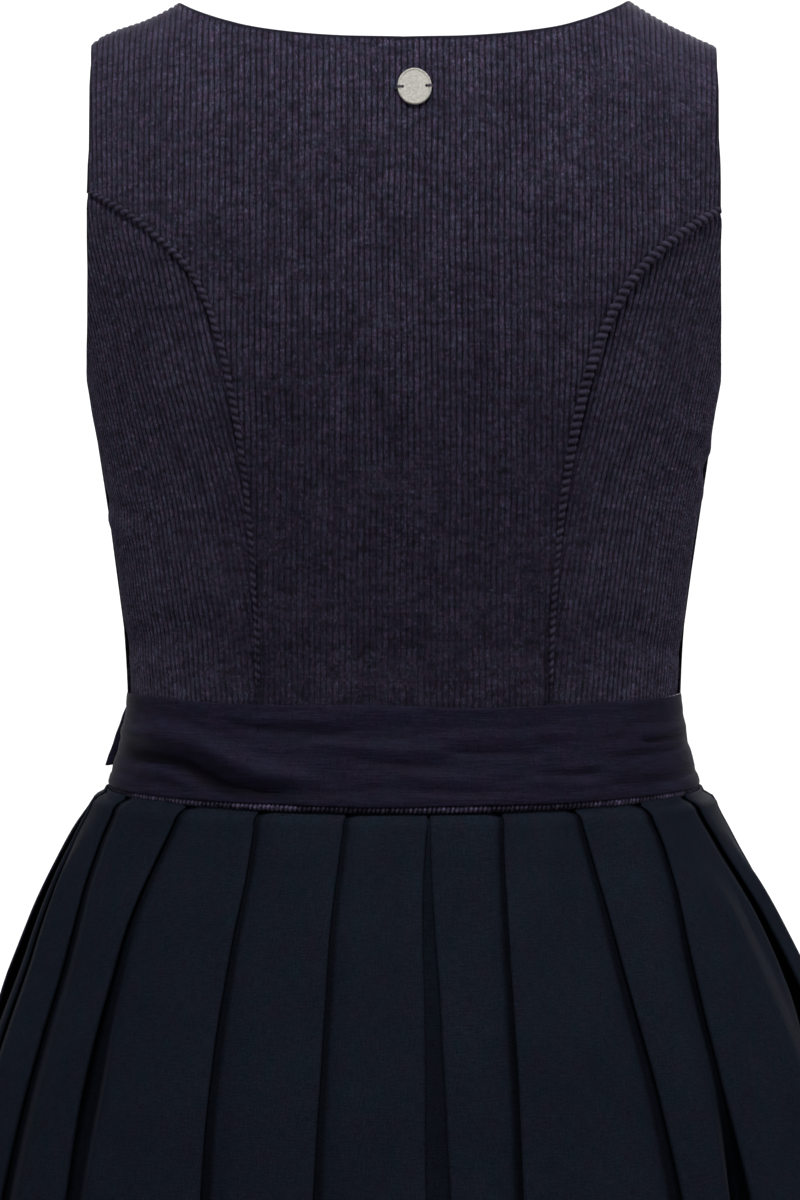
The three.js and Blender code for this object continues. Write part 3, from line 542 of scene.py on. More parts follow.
def waist_line(g0, g1, n=60):
    g = np.linspace(g0, g1, n)
    return np.stack([g, row_of(waist_level(angle_at_waist(g)) + 0.15)], -1)


def meeting(seam, arm, front=False):
    """The seam cut where it meets the armhole, and the armhole above and below that."""
    edge = np.interp(seam[:, 1], arm[:, 1], arm[:, 0])
    inside = seam[:, 0] > edge + 0.3 if front else seam[:, 0] < edge - 0.3
    seam = seam[: int(np.argmin(inside))] if not inside.all() else seam
    k = int(np.argmin(np.hypot((arm[:, 1] - seam[-1, 1]) * 25, arm[:, 0] - seam[-1, 0])))
    return np.vstack([seam[:-1], arm[k]]), arm[: k + 1][::-1], arm[k:]


def on_waist(seam, front=False):
    """The seam from the waist line up, never running back towards the centre on the way."""
    seam = seam.copy()
    off = at_row(_TOT, seam[:, 1]) - seam[:, 0] if front else seam[:, 0]
    off = np.minimum.accumulate(off[::-1] + 0.002 * np.arange(len(seam))[::-1])[::-1]
    seam[:, 0] = at_row(_TOT, seam[:, 1]) - off if front else off
    start = waist_line(seam[0, 0], seam[0, 0], 1)[0]
    if front:
        start = waist_line(g := at_row(_TOT, start[1]) - off[0], g, 1)[0]
        start[0] = at_row(_TOT, start[1]) - off[0]
    return np.vstack([start, seam[seam[:, 1] < start[1] - 0.05]])


_arm_back, _arm_front = armhole(False), armhole(True)
back_seam, back_over, back_under = {}, {}, {}
for _side, _table in ((1, BACK_PRINCESS_R), (-1, BACK_PRINCESS_L)):
    back_seam[_side], back_over[_side], back_under[_side] = meeting(princess(_table, False), _arm_back)
    back_seam[_side] = on_waist(back_seam[_side])
front_seam, front_over, front_under = meeting(princess(FRONT_PRINCESS, True), _arm_front, True)
front_seam = on_waist(front_seam, True)
back_neck, front_neck = neckline(False), neckline(True)

# ------------------------------------------------------------------- meshes
made = []


def make(name, verts, loops, sizes, material, node, uv=None, attrs=None, flat=False):
    """A mesh from points in mm, a flat list of corners and the number of corners of each face."""
    me = bpy.data.meshes.new(name)
    verts = np.asarray(verts, np.float64) * 0.001
    loops, sizes = np.asarray(loops, np.int32), np.asarray(sizes, np.int32)
    me.vertices.add(len(verts))
    me.vertices.foreach_set("co", verts.astype(np.float32).ravel())
    me.loops.add(len(loops))
    me.loops.foreach_set("vertex_index", loops)
    me.polygons.add(len(sizes))
    starts = np.concatenate([[0], np.cumsum(sizes)[:-1]]).astype(np.int32)
    me.polygons.foreach_set("loop_start", starts)
    me.polygons.foreach_set("use_smooth", np.full(len(sizes), not flat))
    if uv is not None:
        layer = me.uv_layers.new(name="cloth")
        layer.data.foreach_set("uv", np.asarray(uv, np.float32)[loops].ravel())
    for key, values in (attrs or {}).items():
        a = me.attributes.new(key, "FLOAT", "POINT")
        a.data.foreach_set("value", np.asarray(values, np.float32))
    me.update(calc_edges=True)
    me.validate()
    o = bpy.data.objects.new(name, me)
    bpy.context.scene.collection.objects.link(o)
    me.materials.append(material)
    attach(o, "root")
    if node:
        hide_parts(*([node] if isinstance(node, str) else node))
    made.append(o)
    return o


def quads(R, C, start=0, round_=False, flip=False):
    """Corners of the quads of an R by C grid whose rows run up and columns to the right."""
    r, c = np.meshgrid(np.arange(R - 1), np.arange(C if round_ else C - 1), indexing="ij")
    d = (c + 1) % C
    q = np.stack([r * C + c, r * C + d, (r + 1) * C + d, (r + 1) * C + c], -1).reshape(-1, 4) + start
    return q[:, ::-1] if flip else q


def shell(outer, inner, ic=None, ir=None, round_=False):
    """A closed wall. inner has a point for each of outer's rows ir and columns ic. Returns verts, loops, sizes."""
    R, C = outer.shape[:2]
    ir = np.arange(R) if ir is None else np.asarray(ir)
    ic = np.arange(C) if ic is None else np.asarray(ic)
    r2, c2 = len(ir), len(ic)
    base = R * C
    verts = np.vstack([outer.reshape(-1, 3), inner.reshape(-1, 3)])
    faces = [quads(R, C, 0, round_), quads(r2, c2, base, round_, flip=True)]
    loops = [f.ravel() for f in faces]
    sizes = [np.full(len(f), 4) for f in faces]
    extra = []
    O = lambda r, c: r * C + (c % C)
    I = lambda i, j: base + i * c2 + (j % c2)
    pairs = [(ic[j], ic[j + 1], j, j + 1) for j in range(c2 - 1)]
    if round_:
        pairs.append((ic[-1], C, c2 - 1, c2))
    for a, b, j, k in pairs:
        extra.append([O(0, a), I(0, j), I(0, k)] + [O(0, c) for c in range(b, a, -1)])
        extra.append([O(R - 1, c) for c in range(a, b + 1)] + [I(r2 - 1, k), I(r2 - 1, j)])
    if not round_:
        for i in range(r2 - 1):
            a, b = ir[i], ir[i + 1]
            extra.append([O(r, 0) for r in range(a, b + 1)] + [I(i + 1, 0), I(i, 0)])
            extra.append([O(a, C - 1), I(i, c2 - 1), I(i + 1, c2 - 1)] + [O(r, C - 1) for r in range(b, a, -1)])
    loops.append(np.array([v for f in extra for v in f]))
    sizes.append(np.array([len(f) for f in extra]))
    return verts, np.concatenate(loops), np.concatenate(sizes)


def grid_normals(p, round_=False):
    """Unit normals of a grid of points, rows up and columns to the right, facing out."""
    if round_:
        dc = np.roll(p, -1, 1) - np.roll(p, 1, 1)
    else:
        dc = np.gradient(p, axis=1)
    dr = np.gradient(p, axis=0)
    return unit(np.cross(dc, dr))


def tube(path, normals, radius, around=10, height=1.0, closed=False, ridge=None):
    """A tube along a path with flat ends. normals are the way out of the cloth under it."""
    path, normals = np.asarray(path, float), unit(np.asarray(normals, float))
    if closed:
        way = unit(np.roll(path, -1, 0) - np.roll(path, 1, 0))
    else:
        way = unit(np.gradient(path, axis=0))
    across = unit(np.cross(way, normals))
    out = np.cross(across, way)
    a = np.linspace(0, 2 * math.pi, around, endpoint=False)
    k = np.arange(len(path))[:, None]
    r = np.broadcast_to(np.asarray(radius, float).reshape(-1, 1), (len(path), around)).copy()
    if ridge is not None:
        r = r + ridge(k, a[None, :])
    p = (
        path[:, None]
        + across[:, None] * (np.cos(a) * r)[..., None]
        + out[:, None] * (np.sin(a) * r * height)[..., None]
    )
    R, C = p.shape[:2]
    q = quads(R, C, 0, True)
    verts = p.reshape(-1, 3)
    loops, sizes = [q.ravel()], [np.full(len(q), 4)]
    if closed:
        c = np.arange(C)
        d = (c + 1) % C
        last = (R - 1) * C
        qq = np.stack([last + c, last + d, d, c], -1)
        loops.append(qq.ravel())
        sizes.append(np.full(C, 4))
    else:
        loops += [np.arange(C)[::-1], (R - 1) * C + np.arange(C)]
        sizes += [np.array([C]), np.array([C])]
    return verts, np.concatenate(loops), np.concatenate(sizes)


def fix_winding(verts, loops, sizes):
    """Turns every face round if the closed mesh is inside out."""
    starts = np.concatenate([[0], np.cumsum(sizes)[:-1]])
    vol = 0.0
    for n in np.unique(sizes):
        f = np.stack([loops[starts[sizes == n] + k] for k in range(n)], -1)
        v = verts[f]
        for k in range(1, n - 1):
            vol += np.einsum("ij,ij->i", v[:, 0], np.cross(v[:, k], v[:, k + 1])).sum()
    if vol < 0:
        out = loops.copy()
        for s, n in zip(starts, sizes):
            out[s : s + n] = loops[s : s + n][::-1]
        return out
    return loops


# ---------------------------------------------------------------- materials
def nodes_of(name, roughness, sheen=0.0, specular=0.1):
    m = bpy.data.materials.new(name)
    m.use_nodes = True
    t = m.node_tree
    b = t.nodes["Principled BSDF"]
    b.inputs["Roughness"].default_value = roughness
    b.inputs["Specular IOR Level"].default_value = specular
    if sheen:
        b.inputs["Sheen Weight"].default_value = sheen
        b.inputs["Sheen Roughness"].default_value = 0.45
    return m, t, b


def node(t, kind, **values):
    n = t.nodes.new(kind)
    for k, v in values.items():
        if k.startswith("_"):
            setattr(n, k[1:], v)
        else:
            n.inputs[int(k[1:]) if k[0] == "i" and k[1:].isdigit() else k].default_value = v
    return n


def math_node(t, op, a, b=None, clamp=False):
    n = t.nodes.new("ShaderNodeMath")
    n.operation = op
    n.use_clamp = clamp
    for i, v in enumerate((a, b)):
        if v is None:
            continue
        if isinstance(v, (int, float)):
            n.inputs[i].default_value = v
        else:
            t.links.new(v, n.inputs[i])
    return n.outputs[0]


def ramp(t, fac, stops):
    n = t.nodes.new("ShaderNodeValToRGB")
    e = n.color_ramp.elements
    while len(e) < len(stops):
        e.new(0.5)
    for el, (p, c) in zip(e, stops):
        el.position = p
        el.color = (*c, 1)
    t.links.new(fac, n.inputs[0])
    return n.outputs[0]


def scaled_uv(t, sx, sy):
    uv = t.nodes.new("ShaderNodeUVMap")
    uv.uv_map = "cloth"
    m = t.nodes.new("ShaderNodeMapping")
    m.inputs["Scale"].default_value = (sx, sy, 1)
    t.links.new(uv.outputs[0], m.inputs[0])
    return m.outputs[0]


def noise_node(t, vec, scale, detail=2.0, rough=0.5):
    n = t.nodes.new("ShaderNodeTexNoise")
    n.inputs["Scale"].default_value = scale
    n.inputs["Detail"].default_value = detail
    n.inputs["Roughness"].default_value = rough
    t.links.new(vec, n.inputs["Vector"])
    return n.outputs[0]


def mix_color(t, kind, fac, a, b):
    n = t.nodes.new("ShaderNodeMix")
    n.data_type = "RGBA"
    n.blend_type = kind
    if isinstance(fac, (int, float)):
        n.inputs[0].default_value = fac
    else:
        t.links.new(fac, n.inputs[0])
    for i, v in ((6, a), (7, b)):
        if isinstance(v, tuple):
            n.inputs[i].default_value = (*v, 1)
        else:
            t.links.new(v, n.inputs[i])
    return n.outputs[2]


def bump(t, b, height, distance, strength=1.0, previous=None):
    n = t.nodes.new("ShaderNodeBump")
    n.inputs["Strength"].default_value = strength
    n.inputs["Distance"].default_value = distance
    t.links.new(height, n.inputs["Height"])
    if previous is not None:
        t.links.new(previous, n.inputs["Normal"])
    if b is not None:
        t.links.new(n.outputs[0], b.inputs["Normal"])
    return n.outputs[0]


def attribute(t, name):
    n = t.nodes.new("ShaderNodeAttribute")
    n.attribute_name = name
    return n.outputs["Fac"]


def facing(t, lo, hi):
    """1 where the surface is seen edge on."""
    lw = t.nodes.new("ShaderNodeLayerWeight")
    lw.inputs["Blend"].default_value = 0.5
    return ramp(t, lw.outputs["Facing"], [(lo, (0.0,) * 3), (hi, (1.0,) * 3)])


def corduroy_material(name="corduroy"):
    m, t, b = nodes_of(name, 0.9, sheen=0.015, specular=0.012)
    b.inputs["Sheen Tint"].default_value = (0.62, 0.56, 0.82, 1)
    wale = attribute(t, "wale")
    # painted light: a level that rises from the waist up to the top of the bodice and out towards its sides, standing
    # in for the light that falls there
    place = t.nodes.new("ShaderNodeTexCoord").outputs["Object"]
    sep = t.nodes.new("ShaderNodeSeparateXYZ")
    t.links.new(place, sep.inputs[0])
    low = t.nodes.new("ShaderNodeMapRange")
    t.links.new(sep.outputs[2], low.inputs[0])
    low.inputs[1].default_value, low.inputs[2].default_value = -0.36, -0.04
    wide = t.nodes.new("ShaderNodeMapRange")
    t.links.new(math_node(t, "ABSOLUTE", sep.outputs[0]), wide.inputs[0])
    wide.inputs[1].default_value, wide.inputs[2].default_value = 0.07, 0.115
    height = math_node(t, "ADD", low.outputs[0], math_node(t, "MULTIPLY", wide.outputs[0], 0.75), clamp=True)
    pile = noise_node(t, scaled_uv(t, 180, 60), 1.0, 3.0, 0.65)
    fleck = noise_node(t, scaled_uv(t, 75, 30), 1.0, 2.0, 0.6)
    speck = noise_node(t, scaled_uv(t, 128, 104), 1.0, 1.0, 0.5)
    nap = noise_node(t, scaled_uv(t, 4.2, 3.1), 1.0, 3.0, 0.55)
    bruise = noise_node(t, scaled_uv(t, 13, 21), 1.0, 2.0, 0.55)
    cross = noise_node(t, scaled_uv(t, 17, 78), 1.0, 2.0, 0.55)
    hue = noise_node(t, scaled_uv(t, 21, 17), 1.0, 3.0, 0.6)
    worn = noise_node(t, scaled_uv(t, 8.5, 6.5), 1.0, 2.0, 0.5)
    # the ribs are less plain where the pile is crushed, and, as painted light, less plain towards the waist and plainer
    # towards the top and the sides
    keep = math_node(t, "ADD", math_node(t, "MULTIPLY", ramp(t, worn, [(0.38, (0.55,) * 3), (0.58, (1.15,) * 3)]), 0.75), math_node(t, "MULTIPLY", height, 0.42), clamp=True)
    even = math_node(t, "ADD", math_node(t, "MULTIPLY", math_node(t, "SUBTRACT", wale, 0.62), keep), 0.62)
    # painted shade: the grooves between the ribs are painted darker than the rib tops, standing in for the shade in
    # them
    base = ramp(t, even, [(0.0, (0.00042, 0.00036, 0.00078)), (0.5, (0.00200, 0.00167, 0.00305)), (1.0, (0.00430, 0.00362, 0.00640))])
    light = ramp(t, pile, [(0.30, (0.36, 0.36, 0.38)), (0.50, (0.92, 0.92, 0.95)), (0.72, (2.0, 1.96, 2.05))])
    spots = ramp(t, fleck, [(0.32, (0.55, 0.54, 0.57)), (0.5, (1.0, 1.0, 1.0)), (0.68, (1.55, 1.52, 1.55))])
    dots = ramp(t, speck, [(0.27, (0.42, 0.40, 0.46)), (0.38, (1.0, 1.0, 1.0)), (0.62, (1.0, 1.0, 1.0)), (0.74, (2.7, 2.8, 2.9))])
    cloud = ramp(t, nap, [(0.32, (0.80, 0.79, 0.82)), (0.68, (1.22, 1.22, 1.2))])
    crush = ramp(t, bruise, [(0.34, (0.66, 0.66, 0.66)), (0.5, (1.0, 1.0, 1.0)), (0.68, (1.28, 1.28, 1.28))])
    rungs = ramp(t, cross, [(0.34, (0.74, 0.72, 0.76)), (0.5, (1.0, 1.0, 1.0)), (0.66, (1.2, 1.2, 1.22))])
    cast = ramp(t, hue, [(0.36, (1.13, 0.93, 1.0)), (0.5, (1.0, 1.0, 1.0)), (0.64, (0.86, 1.08, 1.03))])
    # painted light: the cloth is painted darker low down and lighter towards the top and the sides
    fall = ramp(t, height, [(0.0, (0.80,) * 3), (0.42, (1.0,) * 3), (1.0, (1.17, 1.19, 1.15))])
    c = base
    for extra in (light, spots, dots, cloud, crush, rungs, cast, fall):
        c = mix_color(t, "MULTIPLY", 1.0, c, extra)
    # painted light: the cloth is painted lighter where it is seen edge on, standing in for light and sheen on the
    # silhouettes
    c = mix_color(t, "MIX", math_node(t, "MULTIPLY", facing(t, 0.7, 1.0), 0.7), c, (0.0060, 0.0052, 0.0086))
    edge = attribute(t, "edge")
    c = mix_color(t, "MIX", edge, c, (0.0016, 0.0014, 0.0028))
    t.links.new(c, b.inputs["Base Color"])
    h = math_node(t, "MULTIPLY", pile, 1.0)
    first = bump(t, None, h, 0.00045, 0.8)
    grain = noise_node(t, scaled_uv(t, 420, 300), 1.0, 1.0, 0.5)
    bump(t, b, grain, 0.00022, 0.7, previous=first)
    return m


def piping_material(name, painted_light_gain, uneven=False):
    m, t, b = nodes_of(name, 0.9, sheen=0.015, specular=0.012)
    b.inputs["Sheen Tint"].default_value = (0.62, 0.58, 0.78, 1)
    wale = attribute(t, "wale")
    co = t.nodes.new("ShaderNodeTexCoord").outputs["Object"]
    pile = noise_node(t, co, 1500.0, 2.0, 0.6)
    patch = noise_node(t, co, 160.0, 1.0, 0.5)
    # painted light: the gain makes a lighter copy of the same piping cloth, standing in for the light the piping
    # catches
    tone = lambda *c: tuple(painted_light_gain * v for v in c)
    # painted shade: the grooves between the cord's ribs are painted darker than the rib tops
    base = ramp(t, wale, [(0.0, tone(0.0004, 0.0003, 0.0008)), (0.45, tone(0.0017, 0.0014, 0.0026)), (1.0, tone(0.0052, 0.0044, 0.0076))])
    light = ramp(t, pile, [(0.3, (0.6, 0.6, 0.62)), (0.7, (1.4, 1.38, 1.42))])
    vary = ramp(t, patch, [(0.35, (0.75, 0.74, 0.76)), (0.65, (1.25, 1.25, 1.25))])
    c = mix_color(t, "MULTIPLY", 1.0, base, light)
    c = mix_color(t, "MULTIPLY", 1.0, c, vary)
    if uneven:
        stretch = noise_node(t, co, 15.0, 1.0, 0.5)
        c = mix_color(t, "MULTIPLY", 1.0, c, ramp(t, stretch, [(0.42, (0.32,) * 3), (0.56, (1.15,) * 3)]))
        bead = noise_node(t, co, 420.0, 1.0, 0.5)
        c = mix_color(t, "MULTIPLY", 1.0, c, ramp(t, bead, [(0.36, (0.45,) * 3), (0.62, (1.5,) * 3)]))
    t.links.new(c, b.inputs["Base Color"])
    bump(t, b, pile, 0.0003, 0.7)
    return m


def weave_material(name, dark, light, roughness, sheen, warp, weft, depth, slub=0.0, specular=0.1, rim=None, shaded=False):
    """Plain woven cloth: threads across and along, with thick places in them."""
    m, t, b = nodes_of(name, roughness, sheen, specular)
    uv = t.nodes.new("ShaderNodeUVMap")
    uv.uv_map = "cloth"
    sep = t.nodes.new("ShaderNodeSeparateXYZ")
    t.links.new(uv.outputs[0], sep.inputs[0])
    wave = lambda axis, n, ph: math_node(t, "SINE", math_node(t, "ADD", math_node(t, "MULTIPLY", sep.outputs[axis], n * 2 * math.pi), ph))
    a, c = wave(0, warp, 0.0), wave(1, weft, 0.6)
    weave = math_node(t, "MULTIPLY", a, c)
    yarn_a = noise_node(t, scaled_uv(t, warp * 0.9, 14), 1.0, 2.0, 0.6)
    yarn_b = noise_node(t, scaled_uv(t, 14, weft * 0.9), 1.0, 2.0, 0.6)
    yarn = math_node(t, "ADD", yarn_a, yarn_b)
    blot = noise_node(t, scaled_uv(t, 2.3, 2.3), 1.0, 3.0, 0.6)
    mixed = math_node(t, "ADD", math_node(t, "MULTIPLY", yarn, 0.5), math_node(t, "MULTIPLY", weave, 0.08))
    col = ramp(t, mixed, [(0.36, dark), (0.64, light)])
    cloud = ramp(t, blot, [(0.3, (0.9, 0.9, 0.9)), (0.7, (1.1, 1.1, 1.1))])
    col = mix_color(t, "MULTIPLY", 1.0, col, cloud)
    hue = noise_node(t, scaled_uv(t, 9, 7), 1.0, 4.0, 0.68)
    col = mix_color(t, "MULTIPLY", 1.0, col, ramp(t, hue, [(0.34, (1.16, 0.92, 0.97)), (0.5, (1.0, 1.0, 1.0)), (0.66, (0.84, 1.07, 1.04))]))
    nub = noise_node(t, scaled_uv(t, 118, 118), 1.0, 1.0, 0.5)
    col = mix_color(t, "MULTIPLY", 1.0, col, ramp(t, nub, [(0.3, (0.78,) * 3), (0.5, (1.0,) * 3), (0.7, (1.3,) * 3)]))
    height = math_node(t, "ADD", math_node(t, "MULTIPLY", weave, 0.35), yarn)
    if slub:
        thick = noise_node(t, scaled_uv(t, 5.5, 95), 1.0, 3.0, 0.62)
        streak = ramp(t, thick, [(0.34, (1 - 0.42 * slub,) * 3), (0.5, (1.0,) * 3), (0.70, (1 + 0.55 * slub,) * 3)])
        col = mix_color(t, "MULTIPLY", 1.0, col, streak)
        height = math_node(t, "ADD", height, math_node(t, "MULTIPLY", thick, 2.4 * slub))
    # painted sheen: the rim colour is mixed in where the cloth is seen edge on, standing in for its sheen at grazing
    # angles
    if rim:
        col = mix_color(t, "MIX", math_node(t, "MULTIPLY", facing(t, 0.6, 1.0), 0.75), col, rim)
    # painted shade: the colour is darkened by the mesh's shade attribute
    if shaded:
        dim = math_node(t, "SUBTRACT", 1.0, math_node(t, "MULTIPLY", attribute(t, "shade"), 0.86))
        col = mix_color(t, "MULTIPLY", 1.0, col, dim)
    t.links.new(col, b.inputs["Base Color"])
    bump(t, b, height, depth, 0.7)
    return m


MATS = {
    "corduroy": corduroy_material(),
    "piping": piping_material("piping", 1.0),
    # painted light: the waist piping is the same cloth painted 2.9 times lighter, standing in for the light it catches
    "waist_piping": piping_material("waist_piping", 2.9, uneven=True),
    # the skirt's and the apron's rim colours are painted sheen
    "skirt": weave_material(
        "skirt_cloth", (0.00080, 0.00113, 0.00198), (0.00150, 0.00195, 0.00320), 0.8, 0.0, 150, 150, 0.00012, specular=0.004, rim=(0.0046, 0.0048, 0.0062), shaded=True
    ),
    "tie": weave_material(
        "tie_cloth", (0.00108, 0.00089, 0.00212), (0.00210, 0.00180, 0.00408), 0.42, 0.0, 210, 150, 0.00014, slub=0.6, specular=0.004, shaded=True
    ),
    "apron": weave_material(
        "apron_cloth", (0.00112, 0.00090, 0.00206), (0.00216, 0.00178, 0.00376), 0.42, 0.0, 210, 150, 0.00014, slub=0.5, specular=0.008, rim=(0.0150, 0.0130, 0.0190)
    ),
}


def plate_material():
    m, t, b = nodes_of("plate", 0.6, specular=0.02)
    b.inputs["Metallic"].default_value = 0.12
    co = t.nodes.new("ShaderNodeTexCoord").outputs["Object"]
    n = noise_node(t, co, 900.0, 3.0, 0.6)
    scratch = noise_node(t, co, 260.0, 2.0, 0.5)
    c = ramp(t, n, [(0.35, (0.048, 0.0465, 0.042)), (0.7, (0.072, 0.0700, 0.0645))])
    t.links.new(c, b.inputs["Base Color"])
    r = t.nodes.new("ShaderNodeMapRange")
    t.links.new(scratch, r.inputs[0])
    r.inputs[3].default_value, r.inputs[4].default_value = 0.5, 0.68
    t.links.new(r.outputs[0], b.inputs["Roughness"])
    bump(t, b, n, 0.00003, 0.4)
    return m


def plain_material(name, color, roughness):
    m, t, b = nodes_of(name, roughness)
    co = t.nodes.new("ShaderNodeTexCoord").outputs["Object"]
    n = noise_node(t, co, 1300.0, 2.0, 0.5)
    c = ramp(t, n, [(0.35, tuple(0.75 * v for v in color)), (0.65, tuple(1.25 * v for v in color))])
    t.links.new(c, b.inputs["Base Color"])
    bump(t, b, n, 0.0001, 0.5)
    return m


MATS["plate"] = plate_material()
MATS["thread"] = plain_material("thread", (0.012, 0.011, 0.016), 0.75)

# ------------------------------------------------------------ bodice panels
# Soft pulls in the cloth: from x, z to x, z, half width, depth (a trough is minus), side of the body.
PULLS = [
    (152, -226, 166, -250, 4.0, -1.6, -1),
    (150, -238, 162, -262, 3.5, 1.1, -1),
    (138, -214, 160, -228, 5.0, 0.9, -1),
    (-158, -252, -140, -262, 4.0, -1.3, -1),
    (-156, -264, -142, -272, 3.5, 0.9, -1),
    (-150, -330, -96, -318, 7.0, -0.9, -1),
    (150, -335, 100, -322, 7.0, -0.9, -1),
    (-70, -338, 62, -330, 9.0, -0.7, -1),
    (-52, -318, 40, -322, 8.0, 0.5, -1),
    (-120, -120, -60, -96, 12.0, 0.7, -1),
    (120, -118, 62, -98, 12.0, 0.7, -1),
    (-100, -200, -150, -176, 7.0, -0.8, 1),
    (98, -204, 148, -172, 7.0, -0.8, 1),
    (-104, -300, -54, -318, 7.0, -0.9, 1),
    (108, -296, 52, -312, 7.0, -0.9, 1),
    (-60, -340, -140, -332, 7.0, -0.8, 1),
    (56, -342, 140, -330, 7.0, -0.8, 1),
]


def near_segment(x, z, a, b):
    ab = np.array(b) - np.array(a)
    t = ((x - a[0]) * ab[0] + (z - a[1]) * ab[1]) / (ab @ ab)
    u = np.clip(t, 0, 1)
    return np.hypot(x - a[0] - u * ab[0], z - a[1] - u * ab[1]), t


def pulls(p):
    d = np.zeros(p.shape[:-1])
    side = np.where(p[..., 1] > 0, 1, -1)
    for x0, z0, x1, z1, wide, deep, which in PULLS:
        far, t = near_segment(p[..., 0], p[..., 2], (x0, z0), (x1, z1))
        d += deep * np.exp(-((far / wide) ** 2)) * (side == which)
    return d


def polyline_distance(w, s, line):
    """Distance in mm from points to a polyline, both as (across, down)."""
    flat = np.stack([w.ravel(), s.ravel()], -1)
    best = np.full(len(flat), 1e9)
    a, b = line[:-1], line[1:]
    ab = b - a
    keep = (ab**2).sum(1) > 1e-12
    a, ab = a[keep], ab[keep]
    step = max(1, 4_000_000 // max(1, len(a)))
    for k in range(0, len(flat), step):
        p = flat[k : k + step, None]
        t = np.clip(((p - a) * ab).sum(-1) / (ab**2).sum(-1), 0, 1)
        d = ((p - a - t[..., None] * ab) ** 2).sum(-1)
        best[k : k + step] = np.sqrt(d.min(1))
    return best.reshape(w.shape)


SUB = np.array([0.0, 0.15, 0.37, 0.63, 0.85])
SUB_HIGH = np.array([0.0, 0.66, 1.0, 1.0, 0.66])


def crossings(pw, ps, w):
    """The lowest and the highest s where the closed polyline meets the line at w."""
    a, b = pw[:-1], pw[1:]
    hit = ((a - w) * (b - w) <= 0) & (np.abs(b - a) > 1e-9)
    t = (w - a[hit]) / (b[hit] - a[hit])
    s = ps[:-1][hit] + t * (ps[1:][hit] - ps[:-1][hit])
    return s.max(), s.min()


